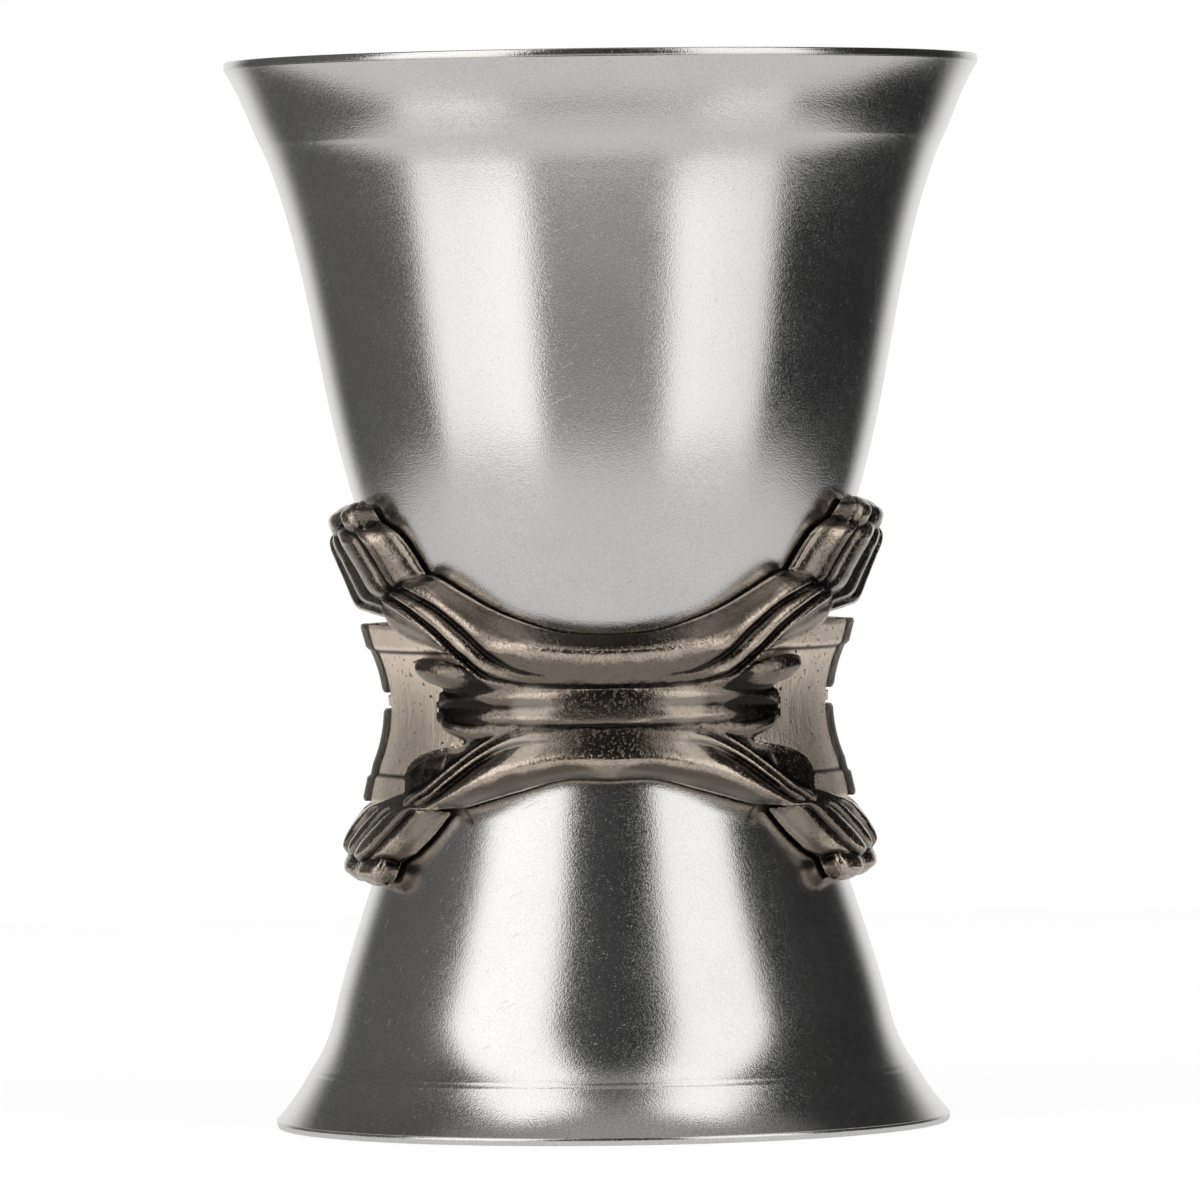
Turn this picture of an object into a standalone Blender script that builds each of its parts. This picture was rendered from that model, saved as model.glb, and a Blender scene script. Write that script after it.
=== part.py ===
"""Double-ended jigger: a large and a small turned cup, foot to foot, in a cast leaf collar.

Metres, +Z up. The jigger stands on the small cup's rim at z = 0, centred on the Z axis, with its
front towards -Y. Angles round the collar start at the front and grow towards +X. Rises on the
collar are measured up from the waist plane, halfway between the two cup feet.
"""
import math
from typing import NamedTuple

import bmesh
import bpy

MM = 0.001

# Both cups
CUP_WALL = 0.9 * MM
CUP_FLOOR = 1.3 * MM
FOOT_RADIUS = 14.2 * MM
FOOT_ROUND = 1.2 * MM
RIM_BAND = 0.6 * MM
RIM_BREAK = 0.12 * MM
SOLDER_THICKNESS = 0.5 * MM
SOLDER_MARGIN = 2.2 * MM
JOINT_GAP = 0.3 * MM

# Large cup, mouth up: heights of the lip are measured down from its rim
UPPER_DEPTH = 48.0 * MM
UPPER_RIM_RADIUS = 28.3 * MM
UPPER_LIP_HEIGHT = 7.8 * MM
UPPER_LIP_RADIUS = 24.95 * MM
UPPER_BELLY_RADIUS = 20.4 * MM
UPPER_FOOT_TAPER = 0.36
UPPER_BELLY_TAPER = 0.22
UPPER_CREASE_TAPER = 0.36
UPPER_LIP_TAPER = 0.45
UPPER_RIM_TAPER = 0.58

# Small cup, mouth down: heights of the lip and the ankle are measured up from its rim
LOWER_DEPTH = 30.9 * MM
LOWER_RIM_RADIUS = 25.3 * MM
LOWER_LIP_HEIGHT = 4.4 * MM
LOWER_LIP_RADIUS = 22.6 * MM
LOWER_ANKLE_HEIGHT = 8.6 * MM
LOWER_ANKLE_RADIUS = 20.8 * MM
LOWER_BELLY_RADIUS = 17.6 * MM
LOWER_FOOT_TAPER = 0.33
LOWER_BELLY_TAPER = 0.34
LOWER_ANKLE_TAPER = 0.23
LOWER_LIP_TAPER = 0.66
LOWER_RIM_TAPER = 0.8

# Waist shells: wall at the narrowest place, hollow of the outer face, edges above and below the waist
SHELL_WALL = 2.0 * MM
SHELL_HOLLOW_RADIUS = 10.5 * MM
SHELL_RISE = 4.6 * MM
SHELL_DROP = 4.1 * MM

# Rails along the top and bottom of each side panel
PANEL_RISE = 4.45 * MM
PANEL_DROP = 5.05 * MM
RAIL_HEIGHT = 1.85 * MM
RAIL_PROUD = 0.2 * MM
RAIL_SLANT = 0.1 * MM
RAIL_HALF_ANGLE = math.radians(46.0)

# Raised tablets let into the side panels
TABLET_HALF_ANGLE = math.radians(8.5)
TABLET_PROUD = 0.4 * MM
TABLET_INLAY = 0.9 * MM
UPPER_TABLET_FOOT = 1.2 * MM
LOWER_TABLET_HEAD = -0.1 * MM
TABLET_REEDS = 3
TABLET_REED_DEPTH = 0.15 * MM

# Leaf mounts: unit of the leaf sections below, least height over the shells and rails, depth of the flutes
LEAF_UNIT = 1.0 * MM
LEAF_WEB = 0.35 * MM
LEAF_WEB_TAPER = 0.3
LEAF_VALLEY = 0.45
SEAT_TAPER = 0.09
LEAF_BED_STEP = 0.08 * MM

# Facets
SHARP_ANGLE = math.radians(35.0)
CUP_SEGMENTS = 48
WALL_STEPS = 4
LIP_STEPS = 3
FOOT_STEPS = 2
SHELL_FACE_STEPS = 5
RAIL_FACE_POINTS = 3
RAIL_STEPS = 12
SEAM_STEPS = 4
LEAF_STEPS_PER_FLUTE = 4
LEAF_BACK_STEPS = 2
LEAF_VOXEL = 0.2 * MM
LEAF_FACE_SHARE = 0.03
TABLET_STEPS_PER_REED = 2
TABLET_HEIGHT_STEPS = 5

# Levels that follow from the sizes above
LOWER_FOOT_Z = LOWER_DEPTH
UPPER_FOOT_Z = LOWER_FOOT_Z + SOLDER_THICKNESS + 2 * JOINT_GAP
WAIST_Z = (LOWER_FOOT_Z + UPPER_FOOT_Z) / 2
RAIL_RISE = PANEL_RISE + RAIL_HEIGHT
RAIL_DROP = PANEL_DROP + RAIL_HEIGHT


class Station(NamedTuple):
    """A place on a cup's outer wall: height from the foot, radius, and taper below and above it."""

    height: float
    radius: float
    taper_below: float
    taper_above: float


class Section(NamedTuple):
    """A cross-section of a leaf: its outer and inner edge, how far it stands out, how far it is fluted."""

    outer_angle: float
    outer_rise: float
    inner_angle: float
    inner_rise: float
    relief: float
    fluting: float


class Leaf(NamedTuple):
    """A leaf or strap of the mount: sections along it, flutes across it, edge heights, depth of its bed."""

    sections: tuple
    flutes: int
    flute_spread: float
    outer_lip: float
    inner_lip: float
    layer: int


def section(outer_angle, outer_rise, inner_angle, inner_rise, relief, fluting):
    """A leaf section written in degrees and leaf units."""
    return Section(
        math.radians(outer_angle),
        outer_rise * LEAF_UNIT,
        math.radians(inner_angle),
        inner_rise * LEAF_UNIT,
        relief * LEAF_UNIT,
        fluting,
    )


# Straps run from the front centre line outwards, and are mirrored to the other side
UPPER_STRAP = Leaf(
    (
        section(0.0, 5.6, 0.0, 1.65, 1.3, 0.0),
        section(11.0, 5.85, 10.0, 1.65, 1.3, 0.0),
        section(20.0, 6.65, 21.0, 1.65, 1.25, 0.25),
        section(27.5, 7.6, 30.5, 2.05, 1.2, 0.7),
        section(35.0, 8.9, 36.5, 3.35, 1.15, 1.0),
        section(39.5, 9.7, 43.5, 5.35, 1.1, 1.0),
        section(42.0, 10.05, 52.0, 6.85, 1.1, 1.0),
        section(43.5, 10.15, 61.0, 8.05, 0.95, 1.0),
    ),
    flutes=3,
    flute_spread=1.55,
    outer_lip=0.35,
    inner_lip=0.75,
    layer=0,
)
LOWER_STRAP = Leaf(
    (
        section(0.0, -5.1, 0.0, -0.9, 1.2, 0.0),
        section(11.0, -5.05, 12.0, -0.9, 1.2, 0.0),
        section(21.0, -5.85, 24.0, -0.95, 1.15, 0.4),
        section(28.0, -6.45, 33.0, -2.3, 1.1, 0.9),
        section(35.0, -7.05, 42.0, -4.3, 1.05, 1.0),
        section(38.6, -7.25, 48.5, -5.65, 1.0, 1.0),
        section(40.5, -7.55, 55.0, -6.35, 0.9, 1.0),
    ),
    flutes=3,
    flute_spread=1.55,
    outer_lip=0.35,
    inner_lip=0.55,
    layer=1,
)
MIDDLE_STRAP = Leaf(
    (
        section(0.0, 2.1, 0.0, -1.35, 0.95, 0.0),
        section(14.0, 2.1, 14.0, -1.35, 0.95, 0.5),
        section(26.0, 2.0, 26.0, -1.3, 0.9, 1.0),
        section(36.0, 1.8, 36.0, -1.25, 0.8, 1.0),
        section(45.0, 1.4, 45.5, -1.0, 0.55, 1.0),
    ),
    flutes=2,
    flute_spread=1.0,
    outer_lip=0.6,
    inner_lip=0.6,
    layer=2,
)

# Tips, caps, bracts and curls stand on both sides of the centre line
UPPER_TIP = Leaf(
    (
        section(41.5, 8.9, 62.0, 6.95, 0.55, 1.0),
        section(43.4, 9.7, 71.0, 7.3, 0.65, 1.0),
        section(45.0, 10.4, 80.0, 7.7, 0.7, 1.0),
        section(47.0, 11.5, 84.5, 9.2, 0.9, 1.0),
        section(49.2, 12.5, 86.5, 10.6, 1.1, 1.0),
        section(52.0, 13.4, 87.0, 11.9, 1.3, 1.0),
        section(57.0, 14.1, 86.0, 12.8, 1.2, 1.0),
    ),
    flutes=4,
    flute_spread=1.0,
    outer_lip=0.3,
    inner_lip=0.9,
    layer=3,
)
UPPER_CAP = Leaf(
    (
        section(57.0, 13.6, 84.0, 12.4, 0.8, 1.0),
        section(58.0, 14.4, 86.0, 13.3, 1.2, 1.0),
        section(61.0, 15.4, 83.5, 14.5, 0.75, 1.0),
    ),
    flutes=3,
    flute_spread=1.0,
    outer_lip=0.4,
    inner_lip=0.4,
    layer=4,
)
LOWER_TIP = Leaf(
    (
        section(38.0, -6.6, 56.0, -6.0, 0.6, 1.0),
        section(39.4, -7.2, 66.0, -6.7, 0.7, 1.0),
        section(40.8, -7.75, 76.0, -7.3, 0.7, 1.0),
        section(44.0, -8.95, 82.0, -8.0, 0.85, 1.0),
        section(47.0, -9.85, 85.5, -8.8, 1.15, 1.0),
        section(50.8, -10.75, 87.0, -9.8, 1.45, 1.0),
        section(56.5, -11.5, 86.0, -10.5, 1.35, 1.0),
    ),
    flutes=4,
    flute_spread=1.0,
    outer_lip=0.3,
    inner_lip=0.9,
    layer=5,
)
LOWER_CAP = Leaf(
    (
        section(56.0, -11.2, 84.0, -10.2, 0.8, 1.0),
        section(55.5, -11.9, 86.0, -11.3, 1.2, 1.0),
        section(57.5, -12.7, 86.0, -12.1, 0.75, 1.0),
    ),
    flutes=3,
    flute_spread=1.0,
    outer_lip=0.4,
    inner_lip=0.4,
    layer=6,
)
UPPER_BRACT = Leaf(
    (
        section(25.0, 2.3, 25.0, 1.1, 0.9, 0.0),
        section(32.0, 3.1, 32.0, 1.1, 0.95, 0.0),
        section(39.0, 4.35, 41.0, 1.2, 1.0, 0.0),
        section(46.5, 4.0, 46.0, 1.8, 0.95, 0.0),
        section(51.5, 3.6, 50.5, 2.7, 0.9, 0.0),
    ),
    flutes=1,
    flute_spread=1.0,
    outer_lip=0.6,
    inner_lip=0.6,
    layer=7,
)
LOWER_BRACT = Leaf(
    (
        section(23.0, -0.6, 23.0, -1.9, 0.9, 0.0),
        section(29.0, -0.6, 29.0, -2.1, 0.95, 0.0),
        section(36.0, -0.5, 36.0, -2.6, 0.95, 0.0),
        section(42.0, -0.45, 42.0, -1.6, 0.9, 0.0),
        section(46.0, -0.45, 45.8, -1.15, 0.85, 0.0),
    ),
    flutes=1,
    flute_spread=1.0,
    outer_lip=0.6,
    inner_lip=0.6,
    layer=8,
)
LOWER_CURL = Leaf(
    (
        section(32.0, -2.6, 31.0, -1.8, 0.6, 0.0),
        section(42.0, -4.8, 40.0, -2.45, 0.6, 0.0),
        section(48.5, -6.1, 48.0, -2.9, 0.6, 0.0),
        section(53.0, -6.7, 54.0, -3.6, 0.6, 0.0),
        section(55.0, -6.9, 57.0, -4.9, 0.5, 0.0),
    ),
    flutes=1,
    flute_spread=1.0,
    outer_lip=0.8,
    inner_lip=0.65,
    layer=9,
)


def hermite(low, high, share):
    """Radius between two stations on a smooth wall that keeps their tapers."""
    span = high.height - low.height
    square, cube = share**2, share**3
    return (
        (2 * cube - 3 * square + 1) * low.radius
        + (cube - 2 * square + share) * span * low.taper_above
        + (3 * square - 2 * cube) * high.radius
        + (cube - square) * span * high.taper_below
    )


def upper_stations():
    """Stations of the large cup's outer wall, from the foot to the rim."""
    lip = UPPER_DEPTH - UPPER_LIP_HEIGHT
    return (
        Station(FOOT_ROUND, FOOT_RADIUS, UPPER_FOOT_TAPER, UPPER_FOOT_TAPER),
        Station((FOOT_ROUND + lip) / 2, UPPER_BELLY_RADIUS, UPPER_BELLY_TAPER, UPPER_BELLY_TAPER),
        Station(lip, UPPER_LIP_RADIUS, UPPER_CREASE_TAPER, UPPER_LIP_TAPER),
        Station(UPPER_DEPTH - RIM_BAND, UPPER_RIM_RADIUS, UPPER_RIM_TAPER, UPPER_RIM_TAPER),
    )


def lower_stations():
    """Stations of the small cup's outer wall, from the foot to the rim."""
    ankle = LOWER_DEPTH - LOWER_ANKLE_HEIGHT
    lip = LOWER_DEPTH - LOWER_LIP_HEIGHT
    return (
        Station(FOOT_ROUND, FOOT_RADIUS, LOWER_FOOT_TAPER, LOWER_FOOT_TAPER),
        Station((FOOT_ROUND + ankle) / 2, LOWER_BELLY_RADIUS, LOWER_BELLY_TAPER, LOWER_BELLY_TAPER),
        Station(ankle, LOWER_ANKLE_RADIUS, LOWER_ANKLE_TAPER, LOWER_ANKLE_TAPER),
        Station(lip, LOWER_LIP_RADIUS, LOWER_LIP_TAPER, LOWER_LIP_TAPER),
        Station(LOWER_DEPTH - RIM_BAND, LOWER_RIM_RADIUS, LOWER_RIM_TAPER, LOWER_RIM_TAPER),
    )


def wall_radius(stations, height):
    """Outer radius of a cup at a height from its foot."""
    for low, high in zip(stations, stations[1:]):
        if height <= high.height:
            share = max(0.0, (height - low.height) / (high.height - low.height))
            return hermite(low, high, share)
    return stations[-1].radius


def bore_radius(stations, height):
    """Inner radius of a cup at a height from its foot, one wall thickness in from the outer wall."""
    probe = CUP_WALL / 4
    rise = wall_radius(stations, height + probe) - wall_radius(stations, height - probe)
    return wall_radius(stations, height) - CUP_WALL * math.hypot(1.0, rise / (2 * probe))


def spaced(start, end, steps):
    """Evenly spaced values from start to end."""
    return [start + (end - start) * step / steps for step in range(steps + 1)]


def wall_heights(stations):
    """Heights from the foot at which a cup's wall is sampled, with the last stretch as the lip."""
    heights = [stations[0].height]
    for low, high in zip(stations, stations[1:]):
        steps = LIP_STEPS if high is stations[-1] else WALL_STEPS
        heights += spaced(low.height, high.height, steps)[1:]
    return heights


def rounded_corner(flat_radius, flat_height, wall_at, round_height):
    """Points of the rounded corner between a flat floor and the wall that rises from it."""
    points = []
    for step in range(FOOT_STEPS):
        turn = math.pi / 2 * step / FOOT_STEPS
        radius = flat_radius + (wall_at - flat_radius) * math.sin(turn)
        points.append((radius, flat_height + round_height * (1 - math.cos(turn))))
    return points


def cup_profile(stations, depth):
    """Half section of a cup as (radius, height from its foot), round the outside and back down the inside."""
    heights = wall_heights(stations)
    rim_radius = stations[-1].radius
    bore_start = CUP_FLOOR + FOOT_ROUND
    bore_heights = [height for height in heights if height > bore_start] + [depth - RIM_BREAK]
    bore = [(bore_radius(stations, height), height) for height in bore_heights]
    bore_foot = bore_radius(stations, bore_start)

    profile = [(0.0, 0.0)]
    profile += rounded_corner(FOOT_RADIUS - FOOT_ROUND, 0.0, FOOT_RADIUS, FOOT_ROUND)
    profile += [(wall_radius(stations, height), height) for height in heights]
    profile += [(rim_radius, depth - RIM_BREAK), (rim_radius - RIM_BREAK, depth)]
    profile += [(bore[-1][0] + RIM_BREAK, depth)]
    profile += bore[::-1]
    profile += [(bore_foot, bore_start)]
    profile += rounded_corner(bore_foot - FOOT_ROUND, CUP_FLOOR, bore_foot, FOOT_ROUND)[::-1]
    profile += [(0.0, CUP_FLOOR)]
    return profile


def waist_radius(z):
    """Outer radius of the two cups at a level, with the space between their feet bridged."""
    above = z - UPPER_FOOT_Z
    below = LOWER_FOOT_Z - z
    if above > FOOT_ROUND:
        return wall_radius(upper_stations(), above)
    if below > FOOT_ROUND:
        return wall_radius(lower_stations(), below)
    return FOOT_RADIUS


def hollow_radius(rise):
    """Radius of the shells' hollow outer face at a rise from the waist."""
    throat = FOOT_RADIUS + JOINT_GAP + SHELL_WALL
    return throat + SHELL_HOLLOW_RADIUS - math.sqrt(SHELL_HOLLOW_RADIUS**2 - rise**2)


def seat_radius(rise):
    """Radius of the face that the leaves lie on: the shells' hollow, closing in on the cups beyond it."""
    edge = max(-SHELL_DROP, min(SHELL_RISE, rise))
    step = hollow_radius(edge) - waist_radius(WAIST_Z + edge)
    return waist_radius(WAIST_Z + rise) + step - SEAT_TAPER * abs(rise - edge)


def panel_radius(rise):
    """Radius of a side panel with its rails at a rise from the waist."""
    on_rail = rise >= PANEL_RISE or rise <= -PANEL_DROP
    return seat_radius(rise) + (RAIL_PROUD if on_rail else 0.0)


def place(angle, radius, rise):
    """A point of the collar."""
    return (radius * math.sin(angle), -radius * math.cos(angle), WAIST_Z + rise)


def metal(name, colour, roughness):
    """A metal with one colour and roughness."""
    material = bpy.data.materials.new(name)
    material.use_nodes = True
    shader = material.node_tree.nodes["Principled BSDF"]
    shader.inputs["Base Color"].default_value = (*colour, 1.0)
    shader.inputs["Metallic"].default_value = 1.0
    shader.inputs["Roughness"].default_value = roughness
    return material


def add_object(name, mesh, material):
    """A scene object for a mesh, in one material."""
    mesh.materials.clear()
    mesh.materials.append(material)
    item = bpy.data.objects.new(name, mesh)
    bpy.context.scene.collection.objects.link(item)
    return item


def finish_mesh(name, builder):
    """A mesh from a bmesh, with its faces turned outwards and its round faces smooth."""
    bmesh.ops.recalc_face_normals(builder, faces=builder.faces)
    mesh = bpy.data.meshes.new(name)
    builder.to_mesh(mesh)
    builder.free()
    mesh.shade_smooth()
    mesh.set_sharp_from_angle(angle=SHARP_ANGLE)
    return mesh


def turned(name, profile, base_z, direction, material):
    """A solid turned about the Z axis from a half section that starts and ends on the axis."""
    builder = bmesh.new()
    points = [builder.verts.new((radius, 0.0, base_z + direction * height)) for radius, height in profile]
    edges = [builder.edges.new(pair) for pair in zip(points, points[1:])]
    bmesh.ops.spin(
        builder,
        geom=points + edges,
        cent=(0.0, 0.0, 0.0),
        axis=(0.0, 0.0, 1.0),
        angle=2 * math.pi,
        steps=CUP_SEGMENTS,
        use_merge=True,
    )
    bmesh.ops.remove_doubles(builder, verts=builder.verts, dist=RIM_BREAK / 10)
    return add_object(name, finish_mesh(name, builder), material)


def loft(builder, rings):
    """A closed solid through rings of points, with a face across the first and the last ring."""
    loops = [[builder.verts.new(point) for point in ring] for ring in rings]
    for near, far in zip(loops, loops[1:]):
        for index in range(len(near)):
            following = (index + 1) % len(near)
            builder.faces.new((near[index], near[following], far[following], far[index]))
    ends = [builder.faces.new(loops[0][::-1]), builder.faces.new(loops[-1])]
    bmesh.ops.triangulate(builder, faces=ends, ngon_method="EAR_CLIP")


def lofted(name, rings, material):
    """An object made of one loft."""
    builder = bmesh.new()
    loft(builder, rings)
    return add_object(name, finish_mesh(name, builder), material)


def shell_face(railed, growth):
    """Rise and height over the seat along a shell's outer face, from its top edge to its bottom edge."""
    if not railed:
        rises = spaced(SHELL_RISE + growth, -SHELL_DROP - growth, SHELL_FACE_STEPS + 2 * RAIL_FACE_POINTS)
        return [(rise, growth) for rise in rises]
    panel_top, panel_bottom = PANEL_RISE - growth, growth - PANEL_DROP
    panel = spaced(panel_top - RAIL_SLANT, panel_bottom + RAIL_SLANT, SHELL_FACE_STEPS)
    top_rail = spaced(RAIL_RISE + growth, panel_top, RAIL_FACE_POINTS - 1)
    bottom_rail = spaced(panel_bottom, -RAIL_DROP - growth, RAIL_FACE_POINTS - 1)
    face = [(rise, RAIL_PROUD + growth) for rise in top_rail]
    face += [(rise, growth) for rise in panel]
    face += [(rise, RAIL_PROUD + growth) for rise in bottom_rail]
    return face


def shell_ring(angle, railed, growth):
    """One section of a waist shell at an angle, with or without rails, grown for use as a cutter."""
    face = shell_face(railed, growth)
    top, bottom = face[0][0], face[-1][0]
    throat = UPPER_FOOT_Z + FOOT_ROUND - WAIST_Z
    bore_gap = -CUP_WALL if growth else JOINT_GAP
    bore = (bottom, (bottom - throat) / 2, -throat, throat, (top + throat) / 2, top)
    ring = [place(angle, seat_radius(rise) + height, rise) for rise, height in face]
    ring += [place(angle, waist_radius(WAIST_Z + rise) + bore_gap, rise) for rise in bore]
    return ring


def shell_rings(growth):
    """Sections of the right-hand shell, from its front seam to its back seam."""
    seam = math.asin((JOINT_GAP / 2 - growth) / FOOT_RADIUS)
    rail_end = RAIL_HALF_ANGLE + growth / FOOT_RADIUS
    plain = spaced(rail_end + RAIL_SLANT / FOOT_RADIUS, math.pi / 2 - seam, SEAM_STEPS)
    rings = [shell_ring(math.pi / 2 - turn, False, growth) for turn in reversed(plain)]
    for turn in spaced(-rail_end, rail_end, RAIL_STEPS):
        rings.append(shell_ring(math.pi / 2 + turn, True, growth))
    rings += [shell_ring(math.pi / 2 + turn, False, growth) for turn in plain]
    return rings


def tablet_rings(foot, head, growth):
    """Sections of a right-hand tablet across its width, grown for use as the cutter of its pocket."""
    half = TABLET_HALF_ANGLE + growth / FOOT_RADIUS
    back_depth = TABLET_INLAY - JOINT_GAP + growth
    rises = spaced(foot - growth, head + growth, TABLET_HEIGHT_STEPS)
    rings = []
    for turn in spaced(-half, half, TABLET_REEDS * TABLET_STEPS_PER_REED):
        reed = abs(math.sin(math.pi / 2 * TABLET_REEDS * (1 + turn / half)))
        front_height = TABLET_PROUD + growth - TABLET_REED_DEPTH * (1 - reed)
        angle = math.pi / 2 + turn
        ring = [place(angle, panel_radius(rise) + front_height, rise) for rise in rises]
        ring += [place(angle, seat_radius(rise) - back_depth, rise) for rise in reversed(rises)]
        rings.append(ring)
    return rings


def leaf_crown(leaf, across, fluting):
    """Height of a leaf at a place across it, as a share of its relief."""
    smooth = math.sin(math.pi * across)
    flutes = abs(math.sin(math.pi * leaf.flutes * across**leaf.flute_spread))
    fluted = LEAF_VALLEY + (1 - LEAF_VALLEY) * flutes
    lip = leaf.outer_lip + (leaf.inner_lip - leaf.outer_lip) * across
    return lip + (1 - lip) * ((1 - fluting) * smooth + fluting * fluted)


def leaf_floor(rise):
    """Least height of a leaf over its seat: a web over the rails, fading out beyond them."""
    beyond = max(0.0, rise - RAIL_RISE - JOINT_GAP, -RAIL_DROP - JOINT_GAP - rise)
    return RAIL_PROUD + JOINT_GAP + LEAF_WEB - LEAF_WEB_TAPER * beyond


def leaf_ring(leaf, cut):
    """One closed section of a leaf: over its crown, and back along its bed on the cups."""
    bed = JOINT_GAP + leaf.layer * LEAF_BED_STEP
    shares = spaced(0.0, 1.0, leaf.flutes * LEAF_STEPS_PER_FLUTE)
    crown = [share ** (1 / leaf.flute_spread) for share in shares]
    ring = []
    for across in crown + spaced(1.0, 0.0, LEAF_BACK_STEPS):
        angle = cut.outer_angle + (cut.inner_angle - cut.outer_angle) * across
        rise = cut.outer_rise + (cut.inner_rise - cut.outer_rise) * across
        if len(ring) < len(crown):
            height = max(leaf_floor(rise), cut.relief * leaf_crown(leaf, across, cut.fluting))
            radius = seat_radius(rise) + height
        else:
            radius = waist_radius(WAIST_Z + rise) + bed
        ring.append(place(angle, radius, rise))
    return ring


def mirrored(sections):
    """The same sections on the other side of the front centre line."""
    return tuple(cut._replace(outer_angle=-cut.outer_angle, inner_angle=-cut.inner_angle) for cut in sections)


def loose_bodies(builder):
    """The faces of a bmesh, sorted into bodies that share no edge."""
    waiting = set(builder.faces)
    bodies = []
    while waiting:
        body = []
        front = [waiting.pop()]
        while front:
            face = front.pop()
            body.append(face)
            near = {other for edge in face.edges for other in edge.link_faces} & waiting
            waiting -= near
            front += near
        bodies.append(body)
    return bodies


def baked(item):
    """The mesh of an object with its modifiers carried out, without the crumbs that cuts leave."""
    depsgraph = bpy.context.evaluated_depsgraph_get()
    mesh = bpy.data.meshes.new_from_object(item.evaluated_get(depsgraph))
    builder = bmesh.new()
    builder.from_mesh(mesh)
    bodies = sorted(loose_bodies(builder), key=lambda body: sum(face.calc_area() for face in body))
    crumbs = [face for body in bodies[:-1] for face in body]
    bmesh.ops.delete(builder, geom=crumbs, context="FACES")
    return finish_mesh(item.name, builder)


def guide(item):
    """Make an object a guide, which shapes others and isn't a piece itself."""
    item.hide_render = True
    item.display_type = "WIRE"


def boolean(item, operation, tool):
    """A boolean of one object with another. The exact solver loses the shell at its second pocket."""
    guide(tool)
    modifier = item.modifiers.new(tool.name, "BOOLEAN")
    modifier.operation = operation
    modifier.solver = "MANIFOLD"
    modifier.object = tool


def turned_round(name, item, material):
    """A copy of a finished object, turned half round the Z axis."""
    copy = add_object(name, item.data, material)
    copy.rotation_euler = (0.0, 0.0, math.pi)
    return copy


def build_cups(steel, solder):
    """Both cups and the solder disc between their feet."""
    turned("lower_cup", cup_profile(lower_stations(), LOWER_DEPTH), LOWER_FOOT_Z, -1.0, steel)
    turned("upper_cup", cup_profile(upper_stations(), UPPER_DEPTH), UPPER_FOOT_Z, 1.0, steel)
    radius = FOOT_RADIUS - SOLDER_MARGIN
    disc = [(0.0, 0.0), (radius, 0.0), (radius, SOLDER_THICKNESS), (0.0, SOLDER_THICKNESS)]
    turned("foot_solder", disc, LOWER_FOOT_Z + JOINT_GAP, 1.0, solder)


def build_shells(panel):
    """The two waist shells, with pockets for the tablets."""
    right = lofted("shell_blank", shell_rings(0.0), panel)
    spans = ((UPPER_TABLET_FOOT, RAIL_RISE), (-RAIL_DROP, LOWER_TABLET_HEAD))
    for foot, head in spans:
        boolean(right, "DIFFERENCE", lofted("tablet_pocket", tablet_rings(foot, head, JOINT_GAP), panel))
    pocketed = add_object("right_shell", baked(right), panel)
    guide(right)
    turned_round("left_shell", pocketed, panel)


def build_tablets(panel):
    """The four raised tablets."""
    spans = {"upper": (UPPER_TABLET_FOOT, RAIL_RISE), "lower": (-RAIL_DROP, LOWER_TABLET_HEAD)}
    for level, (foot, head) in spans.items():
        right = lofted(f"right_{level}_tablet", tablet_rings(foot, head, 0.0), panel)
        turned_round(f"left_{level}_tablet", right, panel)


def build_leaf_mounts(cast):
    """The front mount, cast as one from its leaves and cut to fit over the shells, and its twin behind."""
    builder = bmesh.new()
    for strap in (UPPER_STRAP, LOWER_STRAP, MIDDLE_STRAP):
        whole = mirrored(strap.sections[:0:-1]) + strap.sections
        loft(builder, [leaf_ring(strap, cut) for cut in whole])
    for leaf in (UPPER_TIP, UPPER_CAP, LOWER_TIP, LOWER_CAP, UPPER_BRACT, LOWER_BRACT, LOWER_CURL):
        for sections in (leaf.sections, mirrored(leaf.sections)):
            loft(builder, [leaf_ring(leaf, cut) for cut in sections])
    blank = add_object("mount_blank", finish_mesh("mount_blank", builder), cast)
    guide(blank)
    cutter = lofted("right_clearance", shell_rings(JOINT_GAP), cast)
    boolean(blank, "DIFFERENCE", cutter)
    boolean(blank, "DIFFERENCE", turned_round("left_clearance", cutter, cast))
    skin = blank.modifiers.new("one_casting", "REMESH")
    skin.mode = "VOXEL"
    skin.voxel_size = LEAF_VOXEL
    thin = blank.modifiers.new("fewer_faces", "DECIMATE")
    thin.ratio = LEAF_FACE_SHARE
    thin.use_symmetry = True
    thin.symmetry_axis = "X"
    front = add_object("front_leaf_mount", baked(blank), cast)
    turned_round("back_leaf_mount", front, cast)


def main():
    """Build the jigger in an empty scene."""
    for item in list(bpy.data.objects):
        bpy.data.objects.remove(item, do_unlink=True)
    steel = metal("satin_steel", (0.55, 0.54, 0.53), 0.3)
    solder = metal("soft_solder", (0.45, 0.45, 0.46), 0.5)
    panel = metal("brushed_panel", (0.52, 0.45, 0.38), 0.4)
    cast = metal("antique_cast", (0.36, 0.3, 0.25), 0.42)
    build_cups(steel, solder)
    build_shells(panel)
    build_tablets(panel)
    build_leaf_mounts(cast)


main()
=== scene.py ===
"""Looks of a double-ended jigger: two satin turned cups, foot to foot, in a cast leaf collar.

Metres, +Z up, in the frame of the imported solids. The jigger stands on the small cup's rim at z = 0 with its
front towards -Y. Angles round the collar start at the front and grow towards +X. Rises on the collar are
measured up from the waist plane, halfway between the two cup feet.
"""
import logging
import math
from dataclasses import dataclass
from enum import Enum
from functools import partial
from typing import Any, Sequence

import bmesh
import bpy
import numpy as np
from mathutils import Matrix, Quaternion, Vector, noise


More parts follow.
